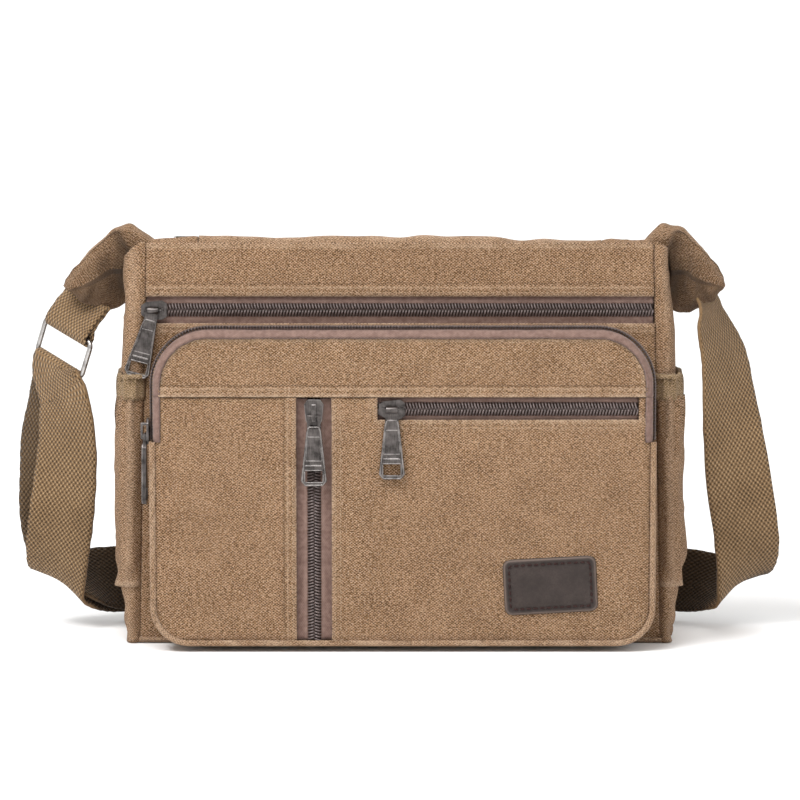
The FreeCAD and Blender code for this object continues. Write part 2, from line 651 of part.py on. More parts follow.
def adjuster():
    """A sliding bar buckle. The webbing runs between its outer bars and its middle bar."""
    t = WEB_THICK / 2
    half = WEB_WIDTH / 2 + 0.7
    z0, z1 = STRAP_REAR_Z - half, STRAP_REAR_Z + half
    rail = 2.6
    near, far = STRAP_REAR_Y - t - 3.2, STRAP_REAR_Y + t + 3.0
    bars = [box(ADJUSTER_X - 13, ADJUSTER_X + 13, near, far, z, z + rail) for z in (z0 - rail, z1)]
    for x in (ADJUSTER_X - 13, ADJUSTER_X + 10):
        bars.append(box(x, x + 3, STRAP_REAR_Y + t + 0.5, far, z0 - 1, z1 + 1))
    bars.append(box(ADJUSTER_X - 1.5, ADJUSTER_X + 1.5, near, STRAP_REAR_Y - t - 0.5, z0 - 1, z1 + 1))
    parts["strap_adjuster"] = fuse(bars)
    parts["strap_end_tab"] = box(ADJUSTER_X - 12, ADJUSTER_X + 3, near - WEB_THICK, near, z0 + 1, z1 - 1)


bag_body()
lining()
side_pockets()
ears()
mouth()
straight_zips()
pouch()
label_patch()
ring()
strap()
adjuster()

os.makedirs("parts", exist_ok=True)
for node, shape in parts.items():
    shape.exportStep("parts/" + node + ".step")
    box_ = shape.optimalBoundingBox()
    print("%-22s solids %d valid %s volume %9.1f  x %.1f..%.1f y %.1f..%.1f z %.1f..%.1f" % (
        node, len(shape.Solids), shape.isValid(), shape.Volume,
        box_.XMin, box_.XMax, box_.YMin, box_.YMax, box_.ZMin, box_.ZMax))
print(len(parts), "nodes")
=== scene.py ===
"""Looks of the canvas messenger bag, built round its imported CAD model.

Shapes are worked out in millimetres, in the CAD frame: +Z up, the bag's front facing -Y.
Cloth is a grid of points with folds, hems and puckers moved into it, then given a thickness.
"""
import math

import bpy
import numpy as np
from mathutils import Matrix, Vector


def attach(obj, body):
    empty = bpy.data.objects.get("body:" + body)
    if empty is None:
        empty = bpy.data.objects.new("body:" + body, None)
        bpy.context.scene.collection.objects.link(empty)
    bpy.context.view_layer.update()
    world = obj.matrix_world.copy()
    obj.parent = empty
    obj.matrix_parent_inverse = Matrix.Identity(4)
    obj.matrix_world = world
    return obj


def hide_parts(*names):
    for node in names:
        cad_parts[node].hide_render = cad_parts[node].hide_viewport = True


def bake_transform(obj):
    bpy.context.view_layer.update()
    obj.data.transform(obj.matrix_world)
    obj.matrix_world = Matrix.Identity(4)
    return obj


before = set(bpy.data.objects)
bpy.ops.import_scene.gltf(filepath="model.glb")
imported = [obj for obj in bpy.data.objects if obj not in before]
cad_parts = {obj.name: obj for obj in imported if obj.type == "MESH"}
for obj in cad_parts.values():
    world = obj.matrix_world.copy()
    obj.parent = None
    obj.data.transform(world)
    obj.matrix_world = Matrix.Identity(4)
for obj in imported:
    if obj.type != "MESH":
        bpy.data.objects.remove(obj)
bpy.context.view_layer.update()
MM = 0.001

# Bag body.
HEIGHT = 252.0
BASE_HALF = 164.0
TOP_HALF = 158.0
FRONT_Y = -40.0
BACK_BASE_Y = 44.0
BACK_TOP_Y = 16.0

# Zips: half widths from a zip's centre line, and heights above the inside face of its canvas.
SLIT = 0.7
COIL_HALF = 4.0
SLOT_HALF = 6.5
TAPE_HALF = 10.0
FRONT_SLOT_HALF = 8.5
FRONT_TAPE_HALF = 11.0
CANVAS = 2.0
PITCH = 1.9
FRONT_ZIP_Z = 210.5
MOUTH_Y = -12.0
MOUTH_Z = 246.3
MOUTH_HALF = 126.0
BACK_ZIP_Z = 196.0
BACK_ZIP_HALF = 112.0

# Hems beside the zips, and how far inside a hem's edge its first row of stitches runs.
WIDE_HEM = 6.5
POUCH_HEM = 6.0
NARROW_HEM = 5.5
FIRST_ROW = 2.2

# Pouch.
LEFT, RIGHT = -152.5, 156.0
TOP, BASE = 200.0, 6.0
CORNER, BASE_CORNER = 34.0, 22.0
POUCH_Y = -73.0
DOOR_Z = 159.0
ARCH_END_Z = 131.0
ARCH_BAND = 3.8
ARCH_ZIP_Y = -62.0
V_ZIP_X = -53.0
V_ZIP_HALF = 11.0
H_ZIP_Z = 151.5
H_ZIP_START, H_ZIP_END = -14.0, 147.0

# Side pockets.
POCKET_BASE = 36.0
POCKET_TOP = 157.0
ELASTIC_TOP = 170.5

# Strap.
WEB_WIDTH = 42.0
WEB_THICK = 2.0
STRAP_REAR_Z = 26.0
RETURN_Y = 57.0
REAR_LEFT, REAR_RIGHT = -155.0, 145.0
ADJUSTER_X = -60.0
RING_RISE = 24.0
TAB_WIDTH = 40.0
TAB_THICK = 1.6
# Painted shade on the webbing: how dark it is painted behind the bag near the floor, and all over its second
# layer.
BEHIND_SHADE = 0.78
RETURN_SHADE = 0.6


def half_width(z):
    """Half of the bag's width at a height."""
    return BASE_HALF + (TOP_HALF - BASE_HALF) * z / HEIGHT


def back_y(z):
    """The outer face of the back panel at a height."""
    return BACK_BASE_Y + (BACK_TOP_Y - BACK_BASE_Y) * z / HEIGHT


BACK_LEAN = math.atan2(BACK_BASE_Y - BACK_TOP_Y, HEIGHT)
BACK_UP = (0, -math.sin(BACK_LEAN), math.cos(BACK_LEAN))
BACK_OUT = (0, math.cos(BACK_LEAN), math.sin(BACK_LEAN))
MOUTH_SEAM = half_width(MOUTH_Z) - 0.3


# ---- numbers ---------------------------------------------------------------------------------

def ease(t):
    """0 below 0, 1 above 1 and smooth between."""
    t = np.clip(t, 0, 1)
    return t * t * (3 - 2 * t)


def bell(t):
    return np.exp(-t * t)


def hashed(i, j, seed):
    """A value from -1 to 1 for each pair of whole numbers, the same on every run."""
    h = (i * 374761393 + j * 668265263 + seed * 1442695041) & 0xFFFFFFFF
    h = ((h ^ (h >> 13)) * 1274126177) & 0xFFFFFFFF
    return ((h ^ (h >> 16)) & 0xFFFF) / 32767.5 - 1.0


def noise(x, y, seed=0):
    """Smooth random values from -1 to 1, changing over about one unit of x and y."""
    x, y = np.broadcast_arrays(np.asarray(x, float), np.asarray(y, float))
    i, j = np.floor(x).astype(np.int64), np.floor(y).astype(np.int64)
    fx, fy = ease(x - i), ease(y - j)
    low = hashed(i, j, seed) * (1 - fx) + hashed(i + 1, j, seed) * fx
    high = hashed(i, j + 1, seed) * (1 - fx) + hashed(i + 1, j + 1, seed) * fx
    return low * (1 - fy) + high * fy


def rumple(x, y, size, seed=0):
    """Gentle unevenness of cloth, about 1 high, with soft creases in it."""
    broad = noise(x / size, y / size, seed) + 0.45 * noise(x / size * 2.3, y / size * 2.3, seed + 1)
    crease = np.abs(noise((x + 0.5 * y) / size * 0.8, (y - 0.4 * x) / size * 0.8, seed + 2))
    return broad + 0.9 * bell(crease / 0.16) - 0.3


def ticks(*stops, step):
    """Values through all the stops, about step apart."""
    values = [stops[0]]
    for a, b in zip(stops, stops[1:]):
        count = max(1, round(abs(b - a) / step))
        values += list(np.linspace(a, b, count + 1)[1:])
    return np.array(values, float)


def unit(v):
    return v / np.maximum(np.linalg.norm(v, axis=-1, keepdims=True), 1e-9)


def curve(points, count):
    """A smooth curve through points, the first axis, with count steps to each stretch."""
    p = [np.asarray(q, float) for q in points]
    p = [2 * p[0] - p[1]] + p + [2 * p[-1] - p[-2]]
    made = []
    for a, b, c, d in zip(p, p[1:], p[2:], p[3:]):
        for t in np.linspace(0, 1, count, endpoint=False):
            made.append(0.5 * (2 * b + (c - a) * t + (2 * a - 5 * b + 4 * c - d) * t * t
                               + (3 * b - a - 3 * c + d) * t ** 3))
    return np.array(made + [p[-2]])


def normals(points):
    """The way that each point of a grid faces."""
    along = np.gradient(points, axis=0)
    across = np.gradient(points, axis=1)
    return unit(np.cross(along, across))


def lengths(points, axis=0):
    """Distance run along a grid's axis, starting from 0."""
    steps = np.linalg.norm(np.diff(points, axis=axis), axis=-1)
    start = np.zeros_like(np.take(steps, [0], axis=axis))
    return np.cumsum(np.concatenate([start, steps], axis=axis), axis=axis)


def cloth_uv(points):
    """Flat coordinates of a grid, in metres, from the distances along its two ways."""
    u = lengths(points, 0).mean(1, keepdims=True) + 0 * points[..., 0]
    v = lengths(points, 1).mean(0, keepdims=True) + 0 * points[..., 0]
    return np.stack([u, v], -1) * MM


# ---- materials -------------------------------------------------------------------------------

class Look:
    """A node material. What is the same all over is set on the shader's own sockets."""

    def __init__(self, name, **uniform):
        self.material = bpy.data.materials.new(name)
        self.material.use_nodes = True
        self.tree = self.material.node_tree
        self.shader = self.tree.nodes["Principled BSDF"]
        for socket, value in uniform.items():
            self.shader.inputs[socket.replace("_", " ")].default_value = value

    def node(self, kind, *inputs, **settings):
        """A new node's first output. Each input is a socket to link, a value, or None to leave."""
        node = self.tree.nodes.new("ShaderNode" + kind)
        for key, value in settings.items():
            setattr(node, key, value)
        for socket, value in zip(node.inputs, inputs):
            self.put(socket, value)
        return node.outputs[0]

    def put(self, socket, value):
        if isinstance(value, bpy.types.NodeSocket):
            self.tree.links.new(value, socket)
        elif value is not None:
            socket.default_value = value

    def sum(self, a, b):
        return self.node("Math", a, b, operation="ADD")

    def times(self, a, b):
        return self.node("Math", a, b, operation="MULTIPLY")

    def cloth(self, u=1.0, v=1.0):
        """The cloth's flat coordinates in metres, stretched by u and v."""
        flat = self.node("UVMap", uv_map="cloth")
        return self.node("VectorMath", flat, (u, v, 1.0), operation="MULTIPLY")

    def place(self, scale=1.0):
        coordinates = self.tree.nodes.new("ShaderNodeTexCoord").outputs["Object"]
        return self.node("VectorMath", coordinates, (scale,) * 3, operation="MULTIPLY")

    def noise(self, vector, scale, detail=2.0, rough=0.55):
        node = self.tree.nodes.new("ShaderNodeTexNoise")
        self.put(node.inputs["Vector"], vector)
        node.inputs["Scale"].default_value = scale
        node.inputs["Detail"].default_value = detail
        node.inputs["Roughness"].default_value = rough
        return node.outputs["Fac"]

    def ramp(self, value, low, high, to_low=0.0, to_high=1.0):
        node = self.tree.nodes.new("ShaderNodeMapRange")
        node.interpolation_type = "SMOOTHSTEP"
        for socket, number in zip(node.inputs, (value, low, high, to_low, to_high)):
            self.put(socket, number)
        return node.outputs[0]

    def mix(self, factor, a, b, blend="MIX"):
        node = self.tree.nodes.new("ShaderNodeMix")
        node.data_type, node.blend_type = "RGBA", blend
        self.put(node.inputs[0], factor)
        self.put(node.inputs[6], a)
        self.put(node.inputs[7], b)
        return node.outputs[2]

    def weave(self, pitch_u, pitch_v, wander=0.0):
        """Bumps of a plain weave from -1 to 1, with threads pitch_u and pitch_v metres apart."""
        flat = self.cloth()
        if wander:
            shift = self.tree.nodes.new("ShaderNodeTexNoise")
            self.put(shift.inputs["Vector"], flat)
            shift.inputs["Scale"].default_value = 260.0
            centred = self.node("VectorMath", shift.outputs["Color"], (0.5, 0.5, 0.5),
                                operation="SUBTRACT")
            small = self.node("VectorMath", centred, (wander,) * 3, operation="MULTIPLY")
            flat = self.node("VectorMath", flat, small, operation="ADD")
        parts = self.tree.nodes.new("ShaderNodeSeparateXYZ")
        self.put(parts.inputs[0], flat)
        waves = [self.node("Math", self.times(parts.outputs[k], math.pi / pitch), operation="SINE")
                 for k, pitch in ((0, pitch_u), (1, pitch_v))]
        return self.times(*waves)

    def bump(self, height, distance, strength=1.0, before=None):
        node = self.tree.nodes.new("ShaderNodeBump")
        node.inputs["Strength"].default_value = strength
        node.inputs["Distance"].default_value = distance
        self.put(node.inputs["Height"], height)
        if before is not None:
            self.put(node.inputs["Normal"], before)
        return node.outputs[0]

    def done(self, colour=None, rough=None, normal=None):
        for name, value in (("Base Color", colour), ("Roughness", rough), ("Normal", normal)):
            if value is not None:
                self.put(self.shader.inputs[name], value)
        return self.material


# The attribute node that carries real wear above 0 and painted shade below 0.
def wear_and_shade_of(look):
    node = look.tree.nodes.new("ShaderNodeAttribute")
    node.attribute_name = "wear_and_shade"
    return node.outputs["Fac"]


def canvas_look(name, dark, middle, pale, faded):
    """Washed canvas: slubbed threads and pinkish flecks, pale where worn, with painted shade darkening its
    creases, under its hems and where it lies in shadow.
    """
    look = Look(name, Roughness=0.93, Specular_IOR_Level=0.15, Sheen_Weight=0.05)
    weave = look.weave(0.00105, 0.00085, 0.0005)
    weft = look.noise(look.cloth(420, 1500), 1.0, 3.0)
    warp = look.noise(look.cloth(1500, 560), 1.0, 3.0)
    threads = look.sum(look.times(weft, 0.55), look.times(warp, 0.45))
    mottle = look.noise(look.place(), 75.0, 4.0, 0.65)
    tone = look.sum(look.sum(look.times(threads, 1.6), look.times(mottle, 0.22)), look.times(weave, 0.22))
    colour = look.mix(look.ramp(tone, 0.72, 0.96), dark, middle)
    colour = look.mix(look.ramp(tone, 0.94, 1.18), colour, pale)
    fleck = look.ramp(look.noise(look.cloth(800, 1300), 1.0, 2.0, 0.7), 0.53, 0.64, 0.0, 0.65)
    colour = look.mix(fleck, colour, (0.55, 0.400, 0.290, 1))
    wear_and_shade_weight = look.times(wear_and_shade_of(look), look.ramp(threads, 0.36, 0.60, 0.35, 1.0))
    colour = look.mix(wear_and_shade_weight, colour, faded)
    # Painted shade: below 0 the attribute darkens the canvas, in creases, under hems and on parts in shadow.
    colour = look.mix(look.ramp(wear_and_shade_of(look), -1.0, 0.0, 0.85, 0.0), colour, (0.035, 0.020, 0.011, 1))
    height = look.sum(look.times(weave, 0.8), look.times(threads, 1.6))
    fine = look.bump(height, 0.0004, 0.9)
    return look.done(colour, normal=look.bump(mottle, 0.0009, 0.45, fine))


def tape_look():
    """Woven zip tape: fine cross ribs and a slight sheen."""
    look = Look("zip tape", Roughness=0.8, Specular_IOR_Level=0.25, Sheen_Weight=0.12)
    ribs = look.weave(0.0010, 0.0006)
    patchy = look.noise(look.cloth(320, 320), 1.0, 3.0)
    colour = look.mix(look.ramp(patchy, 0.3, 0.7), (0.145, 0.085, 0.068, 1), (0.225, 0.143, 0.117, 1))
    colour = look.mix(look.ramp(ribs, -1.0, 0.2, 0.45, 0.0), colour, (0.085, 0.048, 0.038, 1))
    colour = look.mix(look.times(wear_and_shade_of(look), 0.6), colour, (0.36, 0.26, 0.215, 1))
    # Painted shade: below 0 the attribute darkens the tape, under the coil and where it tucks under the
    # canvas.
    colour = look.mix(look.ramp(wear_and_shade_of(look), -1.0, 0.0, 0.9, 0.0), colour, (0.028, 0.018, 0.015, 1))
    return look.done(colour, normal=look.bump(ribs, 0.00014, 0.6))


def coil_look():
    look = Look("zip coil", Roughness=0.34, Specular_IOR_Level=0.65)
    patchy = look.noise(look.place(), 420.0, 2.0)
    colour = look.mix(look.ramp(patchy, 0.3, 0.7), (0.070, 0.049, 0.045, 1), (0.150, 0.112, 0.104, 1))
    return look.done(colour, look.ramp(patchy, 0.2, 0.8, 0.28, 0.42))


def metal_look(name, dark, pale, rough_low, rough_high):
    """Plated metal with fine scratches and a cloudy finish."""
    look = Look(name, Metallic=1.0, Specular_IOR_Level=0.5)
    cloudy = look.noise(look.place(), 190.0, 4.0, 0.6)
    scratch = look.noise(look.node("VectorMath", look.place(), (2600.0, 2600.0, 160.0),
                                   operation="MULTIPLY"), 1.0, 1.0)
    tone = look.sum(look.times(cloudy, 0.7), look.times(scratch, 0.3))
    colour = look.mix(look.ramp(tone, 0.32, 0.68), dark, pale)
    rough = look.ramp(tone, 0.3, 0.7, rough_low, rough_high)
    return look.done(colour, rough, look.bump(tone, 0.00006, 0.5))


def webbing_look():
    """Coarse basket-woven webbing: pale thread tops over dark gaps."""
    look = Look("webbing", Roughness=0.88, Specular_IOR_Level=0.25, Sheen_Weight=0.08)
    weave = look.weave(0.0019, 0.0014, 0.0005)
    fibres = look.noise(look.cloth(1500, 420), 1.0, 3.0)
    patchy = look.noise(look.place(), 40.0, 3.0)
    tone = look.sum(look.times(weave, 0.32), look.sum(look.times(fibres, 0.50), look.times(patchy, 0.25)))
    colour = look.mix(look.ramp(tone, 0.06, 0.42), (0.055, 0.031, 0.013, 1), (0.205, 0.124, 0.060, 1))
    colour = look.mix(look.ramp(tone, 0.44, 0.78), colour, (0.44, 0.300, 0.168, 1))
    # Painted shade: below 0 the attribute darkens the webbing, behind the bag and on its second layer.
    colour = look.mix(look.ramp(wear_and_shade_of(look), -1.0, 0.0, 0.95, 0.0), colour, (0.020, 0.011, 0.005, 1))
    height = look.sum(weave, look.times(fibres, 0.4))
    return look.done(colour, normal=look.bump(height, 0.0006, 0.9))


def leather_look():
    """Embossed grey-brown leather with a pebbled grain and rubbed high spots."""
    look = Look("leather", Specular_IOR_Level=0.25)
    cells = look.tree.nodes.new("ShaderNodeTexVoronoi")
    cells.feature = "SMOOTH_F1"
    look.put(cells.inputs["Vector"], look.place())
    cells.inputs["Scale"].default_value = 1150.0
    grain = cells.outputs["Distance"]
    cloudy = look.noise(look.place(), 90.0, 4.0, 0.65)
    colour = look.mix(look.ramp(cloudy, 0.3, 0.7), (0.026, 0.019, 0.0165, 1), (0.047, 0.035, 0.031, 1))
    colour = look.mix(look.ramp(grain, 0.35, 0.7, 0.0, 0.5), colour, (0.028, 0.020, 0.018, 1))
    colour = look.mix(look.times(wear_and_shade_of(look), 0.7), colour, (0.20, 0.15, 0.125, 1))
    rough = look.ramp(cloudy, 0.25, 0.75, 0.50, 0.68)
    height = look.node("Math", 1.0, grain, operation="SUBTRACT")
    return look.done(colour, rough, look.bump(height, 0.00022, 0.55))


def lining_look():
    look = Look("lining cloth", Roughness=0.7, Specular_IOR_Level=0.35)
    twill = look.weave(0.0006, 0.0006)
    patchy = look.noise(look.place(), 30.0, 3.0)
    colour = look.mix(look.ramp(patchy, 0.3, 0.7), (0.060, 0.046, 0.034, 1), (0.092, 0.072, 0.054, 1))
    colour = look.mix(look.ramp(twill, -1.0, 0.2, 0.3, 0.0), colour, (0.03, 0.022, 0.016, 1))
    return look.done(colour, normal=look.bump(twill, 0.00012, 0.6))


def thread_look(name, dark, pale):
    look = Look(name, Roughness=0.7, Specular_IOR_Level=0.3)
    twist = look.noise(look.place(), 1500.0, 1.0)
    return look.done(look.mix(look.ramp(twist, 0.35, 0.65), dark, pale),
                     normal=look.bump(twist, 0.0001, 0.5))


# Each finish: its material and the record's slot that it stands for, if there is one.
FINISH = {
    "canvas": (canvas_look("canvas", (0.060, 0.029, 0.011, 1), (0.232, 0.130, 0.063, 1),
                           (0.460, 0.300, 0.190, 1), (0.540, 0.395, 0.280, 1)), "canvas"),
    "elastic": (canvas_look("elastic hem", (0.085, 0.052, 0.024, 1), (0.205, 0.132, 0.066, 1),
                            (0.350, 0.245, 0.138, 1), (0.450, 0.330, 0.205, 1)), "elastic"),
    "tape": (tape_look(), "zip_tape"),
    "coil": (coil_look(), "zip_coil"),
    "gunmetal": (metal_look("gunmetal", (0.045, 0.040, 0.038, 1), (0.150, 0.134, 0.128, 1),
                            0.26, 0.42), "gunmetal"),
    # Worn metal: rims and pull frames painted paler, partly as worn plating and partly as a painted
    # highlight.
    "worn metal": (metal_look("worn metal", (0.11, 0.101, 0.097, 1), (0.33, 0.305, 0.292, 1),
                              0.22, 0.36), "gunmetal"),
    "webbing": (webbing_look(), "webbing"),
    "leather": (leather_look(), "leather"),
    "lining": (lining_look(), "lining_cloth"),
    "ring": (metal_look("ring steel", (0.24, 0.225, 0.218, 1), (0.50, 0.48, 0.465, 1), 0.2, 0.34),
             "ring_steel"),
    "thread": (thread_look("canvas thread", (0.24, 0.155, 0.092, 1), (0.42, 0.30, 0.195, 1)), None),
    "dark thread": (thread_look("leather thread", (0.012, 0.005, 0.004, 1),
                                (0.040, 0.014, 0.011, 1)), None),
}


# ---- meshes ----------------------------------------------------------------------------------

def add(name, body, vertices, faces, finish, uv=None, wear_and_shade=None, replaces=()):
    """A new piece from vertices in millimetres. It rides on body, unless body is None."""
    mesh = bpy.data.meshes.new(name)
    mesh.from_pydata((np.asarray(vertices) * MM).tolist(), [], [list(f) for f in faces])
    mesh.polygons.foreach_set("use_smooth", [True] * len(mesh.polygons))
    corners = np.zeros(len(mesh.loops), np.int32)
    mesh.loops.foreach_get("vertex_index", corners)
    if uv is not None:
        layer = mesh.uv_layers.new(name="cloth")
        layer.data.foreach_set("uv", np.asarray(uv, np.float32)[corners].ravel())
    # The attribute holds real wear above 0, which paints cloth paler, and painted shade below 0, which
    # darkens it.
    wear_and_shade_weight = mesh.attributes.new("wear_and_shade", "FLOAT", "POINT")
    amount = np.zeros(len(mesh.vertices)) if wear_and_shade is None else np.clip(wear_and_shade, -1, 1)
    wear_and_shade_weight.data.foreach_set("value", amount.astype(np.float32))
    material, slot = FINISH[finish]
    mesh.materials.append(material)
    obj = bpy.data.objects.new(name, mesh)
    bpy.context.scene.collection.objects.link(obj)
    if body:
        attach(obj, body)
    if replaces:
        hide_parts(*replaces)
    return obj


def cloth(name, body, points, finish="canvas", thick=1.4, uv=None, wear_and_shade=None, keep=None,
          closed=False, flip=False, offset=-1.0, replaces=()):
    """A sheet through a grid of points. It faces along x across, and its thickness goes inwards.

    With an offset of 0 the thickness goes both ways.
    """
    n, m = points.shape[:2]
    rows = np.arange(n if closed else n - 1)
    i, j = np.meshgrid(rows, np.arange(m - 1), indexing="ij")
    following = (i + 1) % n
    faces = np.stack([i * m + j, following * m + j, following * m + j + 1, i * m + j + 1], -1)
    if flip:
        faces = faces[..., ::-1]
    faces = faces[keep] if keep is not None else faces.reshape(-1, 4)
    uv = cloth_uv(points) if uv is None else uv
    wear_and_shade = None if wear_and_shade is None else np.broadcast_to(wear_and_shade, (n, m)).ravel()
    obj = add(name, body, points.reshape(-1, 3), faces, finish, uv.reshape(-1, 2), wear_and_shade, replaces)
    if thick:
        solid = obj.modifiers.new("thickness", "SOLIDIFY")
        solid.thickness = thick * MM
        solid.offset = offset
    return obj


def push(points, amount):
    """Moves a grid's points outwards by amount."""
    return points + normals(points) * np.asarray(amount)[..., None]


def mirrored(points):
    return points * np.array([-1.0, 1.0, 1.0])


def tube(path, radius, sides=8):
    """Vertices and faces of a round tube along a path of points, open at its ends."""
    path = np.asarray(path, float)
    along = unit(np.gradient(path, axis=0))
    up = np.where(np.abs(along[:, 2:]) > 0.9, [[0.0, 1.0, 0.0]], [[0.0, 0.0, 1.0]])
    side = unit(np.cross(along, up))
    over = np.cross(side, along)
    turn = np.linspace(0, 2 * math.pi, sides, endpoint=False)
    ring = (side[:, None] * np.cos(turn)[None, :, None] + over[:, None] * np.sin(turn)[None, :, None])
    points = path[:, None] + ring * np.broadcast_to(radius, (len(path),))[:, None, None]
    i, j = np.meshgrid(np.arange(len(path) - 1), np.arange(sides), indexing="ij")
    k = (j + 1) % sides
    faces = np.stack([i * sides + j, i * sides + k, (i + 1) * sides + k, (i + 1) * sides + j], -1)
    ends = [list(range(sides))[::-1], list(range((len(path) - 1) * sides, len(path) * sides))]
    return points.reshape(-1, 3), faces.reshape(-1, 4).tolist() + ends


def copies(vertices, faces, origins, along, across, out):
    """The same small shape set down many times, each in its own frame."""
    v = np.asarray(vertices, float)
    placed = (origins[:, None] + v[None, :, 0:1] * along[:, None] + v[None, :, 1:2] * across[:, None]
              + v[None, :, 2:3] * out[:, None])
    count = len(v)
    moved = [[k * count + i for i in f] for k in range(len(origins)) for f in faces]
    return placed.reshape(-1, 3), moved


def merged(shapes):
    """The vertices and faces of several shapes as those of one."""
    vertices, faces, count = [], [], 0
    for v, f in shapes:
        vertices.append(v)
        faces += [[i + count for i in face] for face in f]
        count += len(v)
    return np.vstack(vertices), faces


def resampled(path, step, start=0.0):
    """Points step apart along a path."""
    path = np.asarray(path, float)
    run = lengths(path)
    at = np.arange(start, run[-1] - 0.2, step)
    return np.stack([np.interp(at, run, path[:, k]) for k in range(path.shape[1])], -1)


# ---- stitches --------------------------------------------------------------------------------

THREAD = {}


def stitch_shape(length, radius):
    """A short thread, tapered into the cloth at both ends."""
    path = [(x * length, 0, z * radius)
            for x, z in ((-0.5, -0.7), (-0.36, 0.1), (0, 0.35), (0.36, 0.1), (0.5, -0.7))]
    return tube(path, np.array([0.45, 0.9, 1.0, 0.9, 0.45]) * radius, 6)


def stitches(body, path, out, length=2.2, gap=1.2, radius=0.34, finish="thread"):
    """A row of stitches along a path on a surface that faces out."""
    path = np.asarray(path, float)
    out = np.broadcast_to(np.asarray(out, float), path.shape)
    run = lengths(path)
    at = np.arange(length / 2 + 0.5, run[-1] - length / 2, length + gap)
    centre = np.stack([np.interp(at, run, path[:, k]) for k in range(3)], -1)
    ahead = np.stack([np.interp(at + 1, run, path[:, k]) for k in range(3)], -1)
    behind = np.stack([np.interp(at - 1, run, path[:, k]) for k in range(3)], -1)
    facing = np.stack([np.interp(at, run, out[:, k]) for k in range(3)], -1)
    along = unit(ahead - behind)
    across = unit(np.cross(facing, along))
    shape = stitch_shape(length, radius)
    THREAD.setdefault((body, finish), []).append(
        copies(*shape, centre, along, across, np.cross(along, across)))


def level_stitches(along, y, z, out):
    """A row of stitches on the bag's body, through x along at one height."""
    stitches("root", np.stack([along, y + 0 * along, np.full_like(along, z)], -1), out)


def sew():
    """One piece for each body's stitches of each thread."""
    for (body, finish), rows in THREAD.items():
        name = "%s_%s" % (finish.replace(" ", "_"), body)
        add(name, body, *merged(rows), finish)


# ---- zips ------------------------------------------------------------------------------------

def tooth_shape(side):
    """One turn of the coil: a bent thread from the tape to its head in the middle."""
    path = [(-0.55, 3.9 * side, 0.25), (-0.42, 3.45 * side, 1.5), (-0.08, 2.1 * side, 2.15),
            (0.30, 0.85 * side, 2.05), (0.52, -0.15 * side, 1.35)]
    return tube(path, np.array([0.42, 0.47, 0.50, 0.60, 0.50]), 6)


def teeth(name, body, origins, along, across, out, side, finish="coil", replaces=()):
    """A row of coil turns, one for each origin, on one side of a zip."""
    vertices, faces = copies(*tooth_shape(side), origins, along, across, out)
    return add(name, body, vertices, faces, finish, replaces=replaces)


def tape_offsets(half):
    """Distances from a zip's middle at which its tape has points."""
    return ticks(SLIT, COIL_HALF + 0.6, half, step=1.1)


def tape_grid(origins, across, out, side, half):
    """One tape: flat, with a thicker woven cord beside the coil."""
    offset = tape_offsets(half)
    rib = 0.45 * bell((offset - COIL_HALF - 0.9) / 0.8)
    wave = 0.12 * np.sin(lengths(origins)[:, None] / 9.0 + offset[None] * 0.7)
    return (origins[:, None] + across[:, None] * (side * offset)[None, :, None]
            + out[:, None] * (rib[None] + wave)[..., None])


def zip_frame(path, across, out, step, start=0.0):
    """The places of a zip's teeth, and the ways along, across and out of it at each."""
    origins = resampled(path, step, start)
    along = unit(np.gradient(origins, axis=0))
    return (origins, along, np.broadcast_to(across, origins.shape),
            np.broadcast_to(out, origins.shape))


ON_BODY = ("root", "root")


def straight_zip(name, body_of_side, start, end, across, out, half, tape_nodes, teeth_nodes,
                 label=("low", "high")):
    """Both tapes and both rows of teeth of a zip from start to end, on the bodies of its sides."""
    start, end, across, out = (np.array(v, float) for v in (start, end, across, out))
    for k, side in enumerate((-1, 1)):
        body = body_of_side[k]
        first = 0.5 + k * PITCH / 2
        path, along, sideways, facing = zip_frame([start, end], across, out, PITCH, first)
        teeth("%s_coil_%s" % (name, label[k]), body, path, along, sideways, facing, side,
              replaces=teeth_nodes[k])
        path = resampled([start, end], 3.0)
        path = np.vstack([path, end])
        grid = tape_grid(path, np.broadcast_to(across, path.shape), np.broadcast_to(out, path.shape),
                         side, half)
        from_coil = tape_offsets(half)[None] - COIL_HALF
        # The cord beside the coil is paler with wear; the tape under the coil is darkened with painted
        # shade.
        wear_and_shade = 0.35 * bell((from_coil - 1.2) / 0.9) - ease((0.4 - from_coil) / 0.8)
        cloth("%s_tape_%s" % (name, label[k]), body, grid, "tape", 0.7, flip=side < 0, wear_and_shade=wear_and_shade,
              replaces=tape_nodes[k])


